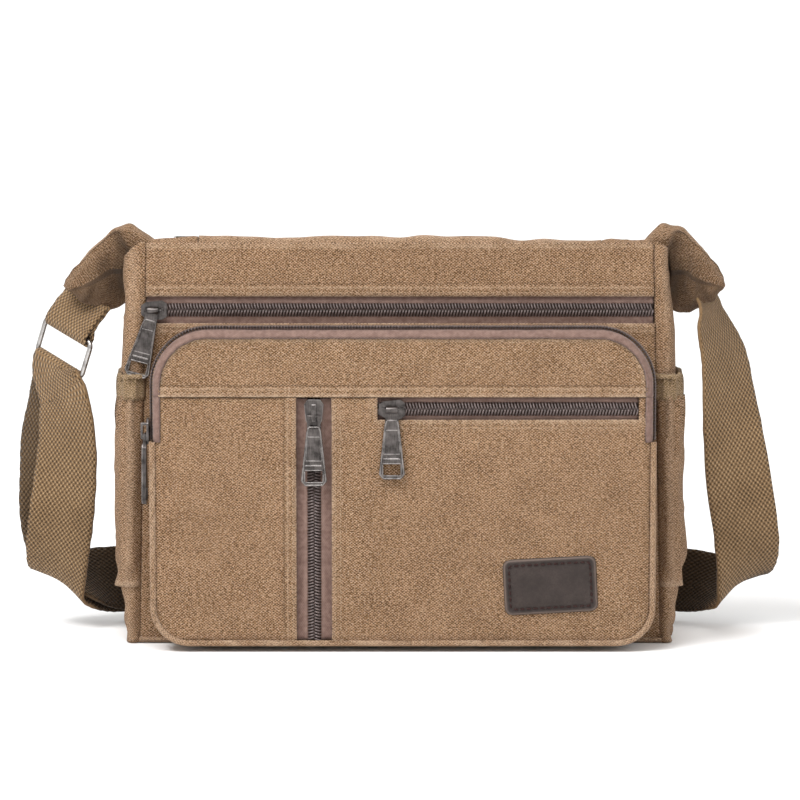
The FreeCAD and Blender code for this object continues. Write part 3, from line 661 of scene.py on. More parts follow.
def zips():
    reach = half_width(FRONT_ZIP_Z) - 0.6
    inner = FRONT_Y + CANVAS
    straight_zip("front_zip", ON_BODY, (-reach, inner, FRONT_ZIP_Z),
                 (reach, inner, FRONT_ZIP_Z), (0, 0, 1), (0, -1, 0), FRONT_TAPE_HALF,
                 (["front_zip_tape"], []), (["front_zip_teeth"], []))
    inner = POUCH_Y + CANVAS
    straight_zip("right_pouch_zip", ON_BODY, (H_ZIP_START, inner, H_ZIP_Z),
                 (H_ZIP_END, inner, H_ZIP_Z), (0, 0, 1), (0, -1, 0), SLOT_HALF + 0.8,
                 (["right_pouch_zip_tape"], []), (["right_pouch_zip_teeth"], []))
    straight_zip("left_pouch_zip", ON_BODY, (V_ZIP_X, inner, BASE + 1.5),
                 (V_ZIP_X, inner, DOOR_Z - 1), (-1, 0, 0), (0, -1, 0), V_ZIP_HALF + 3,
                 (["left_pouch_zip_tape"], []), (["left_pouch_zip_teeth"], []))
    inner = back_y(BACK_ZIP_Z) - CANVAS
    straight_zip("back_zip", ON_BODY, (BACK_ZIP_HALF, inner, BACK_ZIP_Z),
                 (-BACK_ZIP_HALF, inner, BACK_ZIP_Z), BACK_UP, BACK_OUT, TAPE_HALF,
                 (["back_zip_tape"], []), (["back_zip_teeth"], []))
    middle = ("top_flap_back", "top_flap_front")
    straight_zip("top_zip", middle, (MOUTH_HALF, MOUTH_Y, MOUTH_Z), (-MOUTH_HALF, MOUTH_Y, MOUTH_Z),
                 (0, -1, 0), (0, 0, 1), TAPE_HALF,
                 (["top_zip_back_tape"], ["top_zip_front_tape"]),
                 (["top_zip_back_teeth"], ["top_zip_front_teeth"]), ("back", "front"))
    for name, x0, x1 in (("top_zip_right_end", MOUTH_SEAM, MOUTH_HALF + 0.5),
                         ("top_zip_left_end", -MOUTH_HALF - 0.5, -MOUTH_SEAM)):
        straight_zip(name, ON_BODY, (x0, MOUTH_Y, MOUTH_Z), (x1, MOUTH_Y, MOUTH_Z),
                     (0, -1, 0), (0, 0, 1), TAPE_HALF,
                     (["top_zip_end_tapes"], []), (["top_zip_end_teeth"], []), ("back", "front"))


# ---- bag body --------------------------------------------------------------------------------

def hem(distance, width, height=0.8):
    """Height of a folded hem at a distance inside its edge: a ridge with a stitched groove."""
    raised = ease((width - distance) / 1.6 + 0.5)
    groove = 0.35 * bell((distance - FIRST_ROW) / 0.7) + 0.3 * bell((distance - width + 1.2) / 0.7)
    return height * raised * (1 - groove)


def hem_wear_and_shade(distance, width, x):
    """Rubbing on a hem: strong at its edge and its ridge, and uneven along it, with a dark line of painted
    shade just past the hem's fold.
    """
    uneven = 0.65 + 0.35 * noise(x / 7.0, distance * 0, 31) + 0.25 * np.sin(x * math.pi / 1.6)
    pale = 0.75 * bell((distance - 0.5) / 1.1) + 0.45 * bell((distance - width + 0.8) / 1.0)
    return uneven * pale - 0.5 * bell((distance - width - 0.9) / 0.8)


def pucker(distance, along, seed, height=0.35):
    """Small ripples beside a row of stitches."""
    ripple = np.sin(along / 2.1 + 2.2 * noise(along / 13.0, distance * 0, seed))
    return height * ripple * bell(distance / 7.0)


def band_height(x, z):
    """How far the band above the front zip stands out."""
    low = z - (FRONT_ZIP_Z + FRONT_SLOT_HALF)
    top = HEIGHT - z
    soft = ease(low / 10) * ease(top / 8)
    return (hem(low, WIDE_HEM) + 0.6 * soft * rumple(x, z * 1.3, 38, 3) + pucker(low - WIDE_HEM, x, 5)
            + pucker(top, x, 6, 0.5) + 0.8 * ease((3.0 - top) / 2.0))


def front_cloth(name, body, x, z, height, wear_and_shade=0.0, y=FRONT_Y, **more):
    points = np.stack([x, y - height, z], -1)
    return cloth(name, body, points, uv=np.stack([x, z], -1) * MM, wear_and_shade=wear_and_shade, **more)


def middles(grid):
    """The middle of each face of a grid."""
    return grid[:-1, :-1] / 2 + grid[1:, 1:] / 2


def spread(z, left, right, shares):
    """A grid of x and z whose rows run from left to right at each height."""
    x = left[None] + (right - left)[None] * shares[:, None]
    return x, np.broadcast_to(z[None], x.shape)


def front():
    z = ticks(FRONT_ZIP_Z + FRONT_SLOT_HALF, 225, 248, HEIGHT, step=1.8)
    x, z = spread(z, -half_width(z), half_width(z), np.linspace(0, 1, 170))
    low = z - (FRONT_ZIP_Z + FRONT_SLOT_HALF)
    top_edge = 0.55 * bell((HEIGHT - z - 1.5) / 1.3) * (0.7 + 0.4 * noise(x / 9, 0, 8))
    front_cloth("front_band", "root", x, z, band_height(x, z), hem_wear_and_shade(low, WIDE_HEM, x) + top_edge,
                replaces=["front_top_band"])
    along = np.linspace(-157, 157, 260)
    for inner in (FIRST_ROW, 5.3):
        level = FRONT_ZIP_Z + FRONT_SLOT_HALF + inner
        surface = FRONT_Y - band_height(along, np.full_like(along, level)) - 0.05
        level_stitches(along, surface, level, (0, -1, 0))

    z = ticks(0.6, 190, FRONT_ZIP_Z - FRONT_SLOT_HALF, step=2.6)
    x, z = spread(z, -half_width(z), half_width(z), np.linspace(0, 1, 130))
    high = FRONT_ZIP_Z - FRONT_SLOT_HALF - z
    side = half_width(z) - np.abs(x)
    height = hem(high, NARROW_HEM) + 0.5 * ease(side / 5) * ease(high / 9) * rumple(x, z, 34, 12)
    front_cloth("front_wall", "root", x, z, height + pucker(side, z, 14), hem_wear_and_shade(high, NARROW_HEM, x),
                replaces=["front_panel"])
    level_stitches(along, FRONT_Y - 0.75, FRONT_ZIP_Z - FRONT_SLOT_HALF - FIRST_ROW, (0, -1, 0))


def side_profile(z, roll, front_full, back_full, middle):
    """A side's plan curve at each height, from the front seam to the back seam."""
    hw, yb = half_width(z), back_y(z)
    zero = 0 * z

    def at(dx, y):
        return np.stack([hw + dx, y + zero, z], -1)

    return curve([at(zero, -39.2),
                  at(4.6 * roll, -42.2 - front_full),
                  at(11.4 * roll, -40.6 - front_full),
                  at(14.6 * roll, -33.5),
                  at(12.6 * roll + front_full * 0.4, -24),
                  at(middle, -12),
                  at(middle, 4),
                  at(middle - 0.3, yb - 16),
                  at(9.0 * roll + back_full * 0.4, yb - 8),
                  at(5.0 * roll, yb - 1.2 + back_full * 0.3),
                  at(zero, yb - 0.6)], 5)


def between_seams(run, reach):
    """1 along a side's plan curve, falling to 0 over reach at its front and back seams."""
    return ease(run / reach) * ease((run.max(0) - run) / reach)


def gussets():
    for side, label in ((1, "right"), (-1, "left")):
        z = ticks(0.5, POCKET_BASE, 214, 250, step=2.8)
        roll = 0.62 + 0.38 * ease(z / 45) + 0.08 * noise(z / 26, side, 21) - 0.10 * ease((z - 205) / 45)
        roll = roll * (0.86 if side > 0 else 1.05)
        middle = 9.2 + 1.2 * noise(z / 55, side, 22)
        points = side_profile(z, roll, 0.0, 0.0, middle)
        run = lengths(points, 0)
        folds = (0.8 * noise(run / 13, points[..., 2] / 75, 23 + side)
                 + 0.7 * rumple(run, points[..., 2], 24, 25 + side))
        corner = ease((POCKET_BASE + 4 - points[..., 2]) / 30)
        folds += corner * 1.1 * np.sin((run * 0.9 + points[..., 2] * 1.3) / 4.3)
        folds *= between_seams(run, 4) * ease(points[..., 2] / 6)
        points = push(points, folds)
        outwards = np.clip((points[..., 0] - half_width(z)[None]) / 14, 0, 1)
        points[..., 2] += ease((z[None] - 226) / 24) * (3.0 - 9.0 * outwards ** 2)
        wear_and_shade = 0.35 * bell((run - 9) / 3) * (0.6 + 0.4 * noise(run / 6, points[..., 2] / 9, 26))
        if side < 0:
            points = mirrored(points)
        cloth("%s_side" % label, "root", points, wear_and_shade=wear_and_shade, flip=side < 0,
              replaces=["%s_gusset" % label])


def side_pockets():
    for side, label in ((1, "right"), (-1, "left")):
        z = ticks(POCKET_BASE, 60, 140, POCKET_TOP, step=2.2)
        tuck = ease((z - POCKET_BASE) / 26)
        roll = 1.06 + 0.14 * tuck
        middle = 12.5 + 7.0 * tuck - 1.5 * ease((z - 140) / 16) + 0.8 * noise(z / 30, side, 41)
        points = side_profile(z, roll, 0.9 + 1.4 * tuck, 1.0, middle)
        run = lengths(points, 0)
        high = points[..., 2]
        gathers = 1.0 * np.sin(run / 1.25 + 1.5 * noise(run / 9, high / 30, 42)) * ease((high - 118) / 34)
        body = 1.0 * rumple(run, high, 30, 43 + side) + 0.9 * noise(run / 10, high / 60, 45)
        tucks = 1.0 * np.sin((run + high * 0.8) / 3.6) * ease((72 - high) / 30)
        edge = between_seams(run, 5)
        points = push(points, (gathers + body + tucks) * edge)
        wear_and_shade = 0.5 * bell((high - POCKET_BASE - 1) / 2.5) + 0.3 * bell((run - 10) / 3) * edge
        if side < 0:
            points = mirrored(points)
        cloth("%s_pocket" % label, "root", points, wear_and_shade=wear_and_shade, flip=side < 0, thick=1.2,
              replaces=["%s_side_pocket" % label])

        z = np.array([POCKET_TOP - 3.0, POCKET_TOP - 2.2, POCKET_TOP, 160.5, 164, 167.5, ELASTIC_TOP - 0.8,
                      ELASTIC_TOP, ELASTIC_TOP - 0.6, ELASTIC_TOP - 3])
        swell = np.array([0.2, 1.2, 1.5, 1.6, 1.6, 1.5, 1.1, 0.3, -1.2, -1.6])
        points = side_profile(z, 1.02 + swell * 0.02, 2.3, 1.0, 16.6 + 0 * z)
        run = lengths(points, 0)
        gathers = 0.85 * np.sin(run / 0.95 + 2.0 * noise(run / 7, 0, 47))
        gathers += 0.5 * noise(run / 2.0, z[None] / 8, 48)
        points = push(points, swell[None] * 1.0 + gathers * between_seams(run, 4))
        if side < 0:
            points = mirrored(points)
        cloth("%s_elastic_hem" % label, "root", points, "elastic", thick=1.0, flip=side < 0,
              wear_and_shade=(0.22 + 0.3 * np.sin(z[None] * 1.9)) * np.ones_like(run),
              replaces=["pocket_elastics"] if side > 0 else [])


def back():
    z = ticks(0.5, BACK_ZIP_Z - SLOT_HALF, BACK_ZIP_Z + SLOT_HALF, 250, step=3)
    slot_share = BACK_ZIP_HALF / 2 / half_width(BACK_ZIP_Z)
    share = ticks(0, 0.5 - slot_share, 0.5 + slot_share, 1, step=0.012)
    x, z = spread(z, half_width(z), -half_width(z), share)
    slot = (np.abs(middles(x)) < BACK_ZIP_HALF) & (np.abs(middles(z) - BACK_ZIP_Z) < SLOT_HALF)
    side = half_width(z) - np.abs(x)
    from_slot = np.maximum(np.abs(z - BACK_ZIP_Z) - SLOT_HALF, np.abs(x) - BACK_ZIP_HALF)
    soft = ease(side / 14) * ease(z / 14) * ease((250 - z) / 10) * ease((from_slot - 3) / 45)
    height = 1.6 * soft * rumple(x, z, 48, 61) + 2.2 * ease(side / 70) * ease(z / 60) * ease((155 - z) / 50)
    hem_at = np.maximum(from_slot, 0)
    height = height + hem(hem_at, NARROW_HEM) + pucker(side, z, 62)
    points = np.stack([x, back_y(z) + np.maximum(height, -0.4), z], -1)
    cloth("back_wall", "root", points, uv=np.stack([x, z], -1) * MM, keep=~slot,
          wear_and_shade=hem_wear_and_shade(hem_at, NARROW_HEM, x) * 0.7, replaces=["back_panel"])
    along = np.linspace(-BACK_ZIP_HALF - 2, BACK_ZIP_HALF + 2, 160)
    for level in (BACK_ZIP_Z - SLOT_HALF - FIRST_ROW, BACK_ZIP_Z + SLOT_HALF + FIRST_ROW):
        level_stitches(along, back_y(level) + 0.75, level, (0, 1, 0.1))


def footprint(inset=0.0, count=24):
    """The base's outline: straight front and back, with bulged ends."""
    hw, y0, y1 = BASE_HALF - inset, FRONT_Y + inset, BACK_BASE_Y - inset
    bulge, middle = 7.0, (FRONT_Y + BACK_BASE_Y) / 2
    right = curve([(hw, y0, 0), (hw + bulge * 0.8, (y0 + middle) / 2, 0), (hw + bulge, middle, 0),
                   (hw + bulge * 0.8, (y1 + middle) / 2, 0), (hw, y1, 0)], count // 4)
    left = mirrored(right)[::-1]
    front_edge = np.stack([np.linspace(-hw, hw, 60), np.full(60, y0), np.zeros(60)], -1)
    back_edge = front_edge[::-1] * [1, 0, 1] + [0, y1, 0]
    return np.vstack([front_edge, right[1:-1], back_edge, left[1:-1]])


def bottom():
    x = np.linspace(-BASE_HALF, BASE_HALF, 110)
    share = np.linspace(0, 1, 34)
    bulge = 7.0 * (1 - (2 * share - 1) ** 2)
    stretch = 1 + bulge / BASE_HALF
    points = np.stack([x[:, None] * stretch[None], BACK_BASE_Y + (FRONT_Y - BACK_BASE_Y) * share[None]
                       + 0 * x[:, None], 0.35 + 0 * x[:, None] * share[None]], -1)
    lift = 0.5 + 0.4 * rumple(points[..., 0], points[..., 1], 30, 66)
    edge = np.minimum(share, 1 - share)[None] * (BACK_BASE_Y - FRONT_Y)
    points[..., 2] += np.clip(lift, 0, 1.2) * ease(edge / 12)
    cloth("bottom", "root", points, replaces=["bottom_panel"], thick=1.5)
    path = footprint(-0.4)
    path[:, 2] = 2.1 + 0.35 * noise(np.arange(len(path)) / 3.0, 0, 67)
    vertices, faces = tube(np.vstack([path, path[:1]]), 1.7)
    run = lengths(np.vstack([path, path[:1]]))
    uv = np.stack([np.repeat(run, 8), np.tile(np.arange(8) * 1.3, len(run))], -1) * MM
    add("bottom_piping", "root", vertices, faces, "canvas", uv, np.full(len(vertices), 0.3))


# Each wing from the body outwards: its top (x, z), its foot (x, z), its depth and where its middle is.
WINGS = {
    "left": [((154, 252.5), (158, 226), 19, -15), ((163, 258.5), (166, 218), 19, -14),
             ((173, 261.5), (173.5, 212.5), 19, -13), ((182, 260), (180, 209.3), 19.5, -13),
             ((192, 252.5), (187.5, 208.3), 19, -13), ((201, 242), (194.5, 210.5), 17.5, -13),
             ((208, 232.5), (201, 214.5), 17.5, -12.5), ((212, 225), (206, 219.5), 16.5, -12)],
    "right": [((154, 252.5), (158, 224), 19, -15), ((161, 258.5), (166, 215), 19, -14),
              ((169, 261.5), (171.5, 209.8), 19, -13), ((178, 261.5), (177.5, 207.5), 19.5, -13),
              ((187, 254), (184, 207), 19, -13), ((195, 245), (190.5, 210.5), 17.5, -13),
              ((201, 235), (197, 216), 18.5, -12.5), ((204.5, 226.5), (202.5, 221), 17.5, -12)]}


def ears():
    """Folded canvas wings: a pinched, drooping form from the top corner out to the strap."""
    turn = np.linspace(0, 2 * math.pi, 97)[:-1]
    power = 2 / 2.7
    lift = (np.sign(np.sin(turn)) * np.abs(np.sin(turn)) ** power)[None]
    deep = (np.sign(np.cos(turn)) * np.abs(np.cos(turn)) ** power)[None]
    to_front = np.minimum(turn, 2 * math.pi - turn)[None]
    for side, label in ((1, "right"), (-1, "left")):
        rows = WINGS[label]
        flat = curve([np.array([*top, *low, depth, y], float) for top, low, depth, y in rows], 8)
        share = np.linspace(0, 1, len(flat))[:, None]
        centre, arm = (flat[:, 0:2] + flat[:, 2:4]) / 2, (flat[:, 0:2] - flat[:, 2:4]) / 2
        lean = 6.5 * ease((share - 0.05) / 0.4) * (1 - 0.7 * ease((share - 0.6) / 0.3))
        recess = 7.5 * bell((share - 0.16) / 0.28) * bell(to_front / 1.1)
        grid = np.stack([centre[:, 0:1] + arm[:, 0:1] * lift, flat[:, 5:6] - flat[:, 4:5] * deep
                         - lean * lift + recess, centre[:, 1:2] + arm[:, 1:2] * lift], -1)
        front_face = bell(to_front / 1.25)
        wander = 0.05 * noise(lift * 2.5, 0, 70)
        crease = bell((share - 0.30 - 0.10 * lift - wander) / 0.055) * front_face
        beside = bell((share - 0.42 - 0.16 * lift - wander) / 0.07) * front_face
        low_fold = bell((share - 0.62 + 0.25 * lift) / 0.06) * bell((turn[None] - 5.65) / 0.5)
        rim = ease((turn - 0.98) / 0.10)[None] * ease((2.1 - turn) / 0.15)[None] * ease((share - 0.25) / 0.2)
        seam = bell((turn - 0.93) / 0.05)[None] * ease((share - 0.25) / 0.2)
        around = turn[None] * 22
        folds = (2.4 * beside - 3.4 * crease - 1.6 * low_fold + 1.1 * rim - 0.9 * seam
                 - 3.0 * bell((turn - math.pi / 2) / 0.22)[None] * bell((share - 0.24) / 0.07)
                 + 1.0 * noise(share * 6, around / 8, 71 + side) + 0.6 * noise(share * 14, around / 4, 72))
        folds = folds * ease(share / 0.10) * (0.4 + 0.6 * ease((1 - share) / 0.15))
        closed = np.concatenate([grid, grid[:, :1]], 1)
        grid = grid - normals(closed)[:, :-1] * folds[..., None]
        # Painted shade: the wing's front face is darkened as if in shadow, most near the body and low down,
        # and its creases, seam and low fold darker still; the rim is paler with real wear.
        shade = (1.05 * front_face * (1 - 0.45 * ease((share - 0.35) / 0.5)) * (0.72 - 0.22 * lift)
                 + 0.5 * crease + 0.5 * seam + 0.35 * low_fold)
        wear_and_shade = 0.5 * rim * (0.5 + 0.5 * noise(share * 40, around / 3, 74)) - shade
        run = lengths(grid, 0)
        girth = np.linalg.norm(np.diff(grid, axis=1, append=grid[:, :1]), axis=-1).cumsum(1)
        points = (grid if side > 0 else mirrored(grid)).transpose(1, 0, 2)
        cloth("%s_wing" % label, "root", points, uv=np.stack([run.T, girth.T], -1) * MM, wear_and_shade=wear_and_shade.T,
              closed=True, flip=side > 0, thick=0, replaces=["%s_ear" % label])
        end = points[:, -1]
        # The wing's open end is closed by a cap, darkened with painted shade.
        add("%s_wing_end" % label, "root", end, [list(range(len(end)))[::(1 if side > 0 else -1)]],
            "canvas", np.stack([end[:, 0], end[:, 1]], -1) * MM, np.full(len(end), -0.4))


# A top panel crowned by more than this rises late and is rubbed along its ridge.
HIGH_CROWN = 3


def crowned(x, share, y0, y1, height, seed):
    """A top panel from y0 to y1, crowned by height, with a wavy ridge."""
    ridge = height * (0.82 + 0.22 * noise(x / 42, 0, seed) + 0.12 * noise(x / 15, 0, seed + 1))
    shape = np.sin(math.pi * np.clip(share, 0, 1)) ** (1.5 if height > HIGH_CROWN else 0.8)
    z = MOUTH_Z + CANVAS + 0.3 + ridge * shape
    return np.stack([x, y0 + (y1 - y0) * share, z], -1)


def top():
    back_edge = back_y(MOUTH_Z + CANVAS) - CANVAS - 0.2
    share = np.linspace(0, 1, 15)
    panels = [("top_front", "top_flap_front", FRONT_Y + 2.2, MOUTH_Y - SLOT_HALF, 8.4, ["top_flap_front"]),
              ("top_back", "top_flap_back", back_edge, MOUTH_Y + SLOT_HALF, 1.7, ["top_flap_back"])]
    for name, body, y0, y1, height, replaced in panels:
        facing = 1 if y1 > y0 else -1
        x, s = np.meshgrid(ticks(-MOUTH_HALF, MOUTH_HALF, step=3), share, indexing="ij")
        points = crowned(x, s, y0, y1, height, 81)
        edge = np.abs(points[..., 1] - y1)
        points[..., 2] += hem(edge, 4.5, 0.6)
        high = height > HIGH_CROWN
        wear_and_shade = 0.5 * bell((s - 0.45) / 0.2) * (0.6 + 0.5 * noise(x / 8, s * 3, 83)) * high
        cloth(name, body, points, wear_and_shade=wear_and_shade + hem_wear_and_shade(edge, 4.5, x) * 0.6, flip=facing < 0,
              replaces=replaced)
        along = np.linspace(-MOUTH_HALF + 1, MOUTH_HALF - 1, 180)
        row = np.full_like(along, 1 - FIRST_ROW / abs(y1 - y0))
        line = crowned(along, row, y0, y1, height, 81) + [0, 0, 0.45]
        stitches(body, line, (0, 0, 1))
        for side in (-1, 1):
            x, s = np.meshgrid(side * ticks(MOUTH_HALF + 0.4, MOUTH_SEAM, step=3), share, indexing="ij")
            points = crowned(x, s, y0, y1, height * 0.9, 81)
            points[..., 2] += 0.5 * rumple(x, points[..., 1], 12, 84) * high * np.sin(math.pi * s)
            label = "%s_%s_end" % (name, "right" if side > 0 else "left")
            cloth(label, "root", points, flip=facing * side < 0,
                  replaces=["top_end_panels"] if label == "top_front_right_end" else [])


def lining():
    """The inner bag: a thin wrinkled bag hung from a facing at the rim."""
    corner = np.array([[1, -1], [1, 1], [-1, 1], [-1, -1]])
    z = np.concatenate([ticks(245, 234, step=2.5), ticks(231, 8, step=6), [5.2, 4.2]])
    inset = np.where(z > 233, 2.6, 6.6)
    inset[-1] = 10
    edge_share = np.linspace(0, 1, 30, endpoint=False)
    rings = []
    for k, height in enumerate(z):
        hw = half_width(height) - 3 - (4 if k == len(z) - 1 else 0)
        y0, y1 = FRONT_Y + inset[k], back_y(height) - inset[k]
        box = [np.array([hw * sx, y0 if sy < 0 else y1, height]) for sx, sy in corner]
        rings.append(np.vstack([a + (b - a) * edge_share[:, None] for a, b in zip(box, box[1:] + box[:1])]))
    grid = np.array(rings).transpose(1, 0, 2)
    around = np.arange(grid.shape[0])[:, None] * 4.0
    inward = unit(np.array([0, -8, 0]) - grid * [0.25, 1, 0])
    loose = ease((232 - z) / 30)[None] * ease((z - 3) / 25)[None]
    grid = grid + inward * (1.3 * loose * (1 + rumple(around, z[None], 40, 91)))[..., None]
    cloth("inner_bag", "root", grid, "lining", 0.6, closed=True, replaces=["lining"])
    x = np.linspace(-1, 1, 60) * (half_width(4) - 8)
    y = np.linspace(BACK_BASE_Y - 10.5, FRONT_Y + 10.5, 16)
    gx, gy = np.meshgrid(x, y, indexing="ij")
    floor = np.stack([gx, gy, 4.3 + 0.7 * (1 + rumple(gx, gy, 30, 93))], -1)
    cloth("inner_bag_floor", "root", floor, "lining", 0.6, flip=True)


# ---- pouch -----------------------------------------------------------------------------------

OUTLINE_STEP = 2.5


def line_points(a, b):
    """A straight stretch of the outline, and the way outwards at each point."""
    count = max(2, round(math.dist(a, b) / OUTLINE_STEP))
    way = unit(np.array(b, float) - a)
    points = np.linspace(a, b, count, endpoint=False)
    return points, np.broadcast_to([-way[1], way[0]], points.shape)


def arc_points(centre, radius, start, end):
    """A corner, clockwise from start to end in radians, and the way outwards at each point."""
    count = max(4, round(radius * abs(end - start) / OUTLINE_STEP))
    angle = np.linspace(start, end, count, endpoint=False)
    out = np.stack([np.cos(angle), np.sin(angle)], -1)
    return np.array(centre) + radius * out, out


def joined(stretches, last):
    """The points and outward ways of all the stretches, then those of the last point."""
    points = np.vstack([s[0] for s in stretches] + [[last[0]]])
    out = np.vstack([s[1] for s in stretches] + [[last[1]]])
    return points, out


def arch_path():
    """The pouch's outline from the zip's left end, over the top, to its right end."""
    half = math.pi / 2
    return joined([
        line_points((LEFT, ARCH_END_Z), (LEFT, DOOR_Z - 0.3)),
        line_points((LEFT, DOOR_Z - 0.3), (LEFT, DOOR_Z)),
        line_points((LEFT, DOOR_Z), (LEFT, TOP - CORNER)),
        arc_points((LEFT + CORNER, TOP - CORNER), CORNER, math.pi, half),
        line_points((LEFT + CORNER, TOP), (RIGHT - CORNER, TOP)),
        arc_points((RIGHT - CORNER, TOP - CORNER), CORNER, half, 0),
        line_points((RIGHT, TOP - CORNER), (RIGHT, DOOR_Z)),
        line_points((RIGHT, DOOR_Z), (RIGHT, DOOR_Z - 0.3)),
        line_points((RIGHT, DOOR_Z - 0.3), (RIGHT, ARCH_END_Z))],
        ((RIGHT, ARCH_END_Z), (1.0, 0.0)))


def base_path():
    """The pouch's outline from the zip's right end, round the bottom, to its left end."""
    half = math.pi / 2
    return joined([
        line_points((RIGHT, ARCH_END_Z), (RIGHT, BASE + BASE_CORNER)),
        arc_points((RIGHT - BASE_CORNER, BASE + BASE_CORNER), BASE_CORNER, 0, -half),
        line_points((RIGHT - BASE_CORNER, BASE), (LEFT + BASE_CORNER, BASE)),
        arc_points((LEFT + BASE_CORNER, BASE + BASE_CORNER), BASE_CORNER, -half, -math.pi),
        line_points((LEFT, BASE + BASE_CORNER), (LEFT, ARCH_END_Z))],
        ((LEFT, ARCH_END_Z), (-1.0, 0.0)))


def swept(path, out, section):
    """A grid that carries a section, of (outwards, y) points, along a path of the outline."""
    section = np.asarray(section, float)
    x = path[:, 0:1] + out[:, 0:1] * section[None, :, 0]
    z = path[:, 1:2] + out[:, 1:2] * section[None, :, 0]
    return np.stack([x, np.broadcast_to(section[None, :, 1], x.shape), z], -1)


def outline_x(z, inset, side):
    """The outline's x at each height, on the left (-1) or the right (1)."""
    low, high = BASE + BASE_CORNER - z, z - (TOP - CORNER)
    pull_in = 0.0
    for r, over in ((BASE_CORNER - inset, low), (CORNER - inset, high)):
        pull_in = pull_in + r - np.sqrt(np.maximum(r * r - np.clip(over, 0, r) ** 2, 0))
    edge = (RIGHT if side > 0 else LEFT) - side * inset
    return edge - side * pull_in


def pouch_puff(x, z):
    """How far the pouch's front stands out between its seams."""
    crown = (1 - ((x - 1) / 156) ** 4) * (1 - ((z - 92) / 104) ** 4)
    return 1.3 * np.clip(crown, 0, 1) + 0.42 * rumple(x, z, 44, 101) * ease(crown * 3)


def edge_roll(distance):
    """A panel's surface turning in over its last few millimetres, behind a raised welt."""
    return 0.9 * bell((distance - 6.0) / 1.6) - 1.8 * np.clip(1 - distance / 4.0, 0, 1) ** 2


def pouch_stitches(x, z, body="root", fullness=1.0, lift=0.62):
    """A row of stitches through x and z on the pouch's front, lift above its plain surface."""
    surface = POUCH_Y - pouch_puff(x, z) * fullness - lift
    stitches(body, np.stack([x, surface, z], -1), (0, -1, 0))


def pouch_left_panel(z):
    left_edge = V_ZIP_X - V_ZIP_HALF
    inset = np.where(z >= ARCH_END_Z, ARCH_BAND, 0.0)
    x, zz = spread(z, outline_x(z, inset, -1), np.full_like(z, left_edge), np.linspace(0, 1, 48))
    hem_at = left_edge - x
    rim = np.minimum(x - outline_x(zz, 0.0, -1), zz - BASE)
    height = (pouch_puff(x, zz) + hem(hem_at, WIDE_HEM) + pucker(hem_at - 7, zz, 103)
              + edge_roll(rim) + pucker(rim, x + zz, 104))
    front_cloth("pouch_left", "root", x, zz, height, hem_wear_and_shade(hem_at, WIDE_HEM, zz), POUCH_Y,
                replaces=["pouch_left_panel"])
    rise = np.linspace(6, DOOR_Z - 2, 140)
    for inner in (FIRST_ROW, 5.4):
        pouch_stitches(np.full_like(rise, left_edge - inner), rise)


def pouch_right_panel(z):
    right_edge = V_ZIP_X + V_ZIP_HALF
    width = RIGHT - ARCH_BAND - right_edge
    share = ticks(0, (H_ZIP_START - right_edge) / width, (H_ZIP_END - right_edge) / width, 1, step=0.0115)
    slot_low = H_ZIP_Z - SLOT_HALF
    z = np.unique(np.concatenate([z[(np.abs(z - slot_low) > 0.8)], [slot_low]]))
    inset = np.where(z >= ARCH_END_Z, ARCH_BAND, 0.0)
    x, zz = spread(z, np.full_like(z, right_edge), outline_x(z, inset, 1), share)
    slot = (middles(x) > H_ZIP_START) & (middles(zz) > slot_low) & (middles(x) < H_ZIP_END)
    hem_at = x - right_edge
    below = slot_low - zz
    beside = np.where(x > H_ZIP_START, 99, H_ZIP_START - x)
    from_slot = np.where(zz <= slot_low, np.where(x > H_ZIP_START - 2, below, 99), beside)
    from_slot = np.clip(from_slot, 0, 99)
    rim = np.minimum(outline_x(zz, 0.0, 1) - x, zz - BASE)
    height = (pouch_puff(x, zz) + np.maximum(hem(hem_at, WIDE_HEM), hem(from_slot, POUCH_HEM))
              + edge_roll(rim) + pucker(hem_at - 7, zz, 105) + pucker(rim, x + zz, 106))
    wear_and_shade = np.maximum(hem_wear_and_shade(hem_at, WIDE_HEM, zz), hem_wear_and_shade(from_slot, POUCH_HEM, x))
    front_cloth("pouch_right", "root", x, zz, height, wear_and_shade, POUCH_Y, keep=~slot,
                replaces=["pouch_right_panel"])
    rise = np.linspace(6, DOOR_Z - 2, 140)
    for inner in (FIRST_ROW, 5.4):
        pouch_stitches(np.full_like(rise, right_edge + inner), rise)
    along = np.linspace(H_ZIP_START, H_ZIP_END, 150)
    for inner in (2.0, 5.0):
        pouch_stitches(along, np.full_like(along, slot_low - inner))
    rise = np.linspace(slot_low, DOOR_Z - 2, 14)
    pouch_stitches(np.full_like(rise, H_ZIP_START - FIRST_ROW), rise)


def pouch_panels():
    """Both front panels, whose rows lie closer together where the outline curves in."""
    z = BASE + (DOOR_Z - 0.4 - BASE) * np.concatenate([1 - np.cos(np.linspace(0, 0.55, 12)),
                                                       np.linspace(0.1605, 1, 60)])
    z = np.unique(np.concatenate([z, [ARCH_END_Z - 0.2, ARCH_END_Z]]))
    pouch_left_panel(z)
    pouch_right_panel(z)


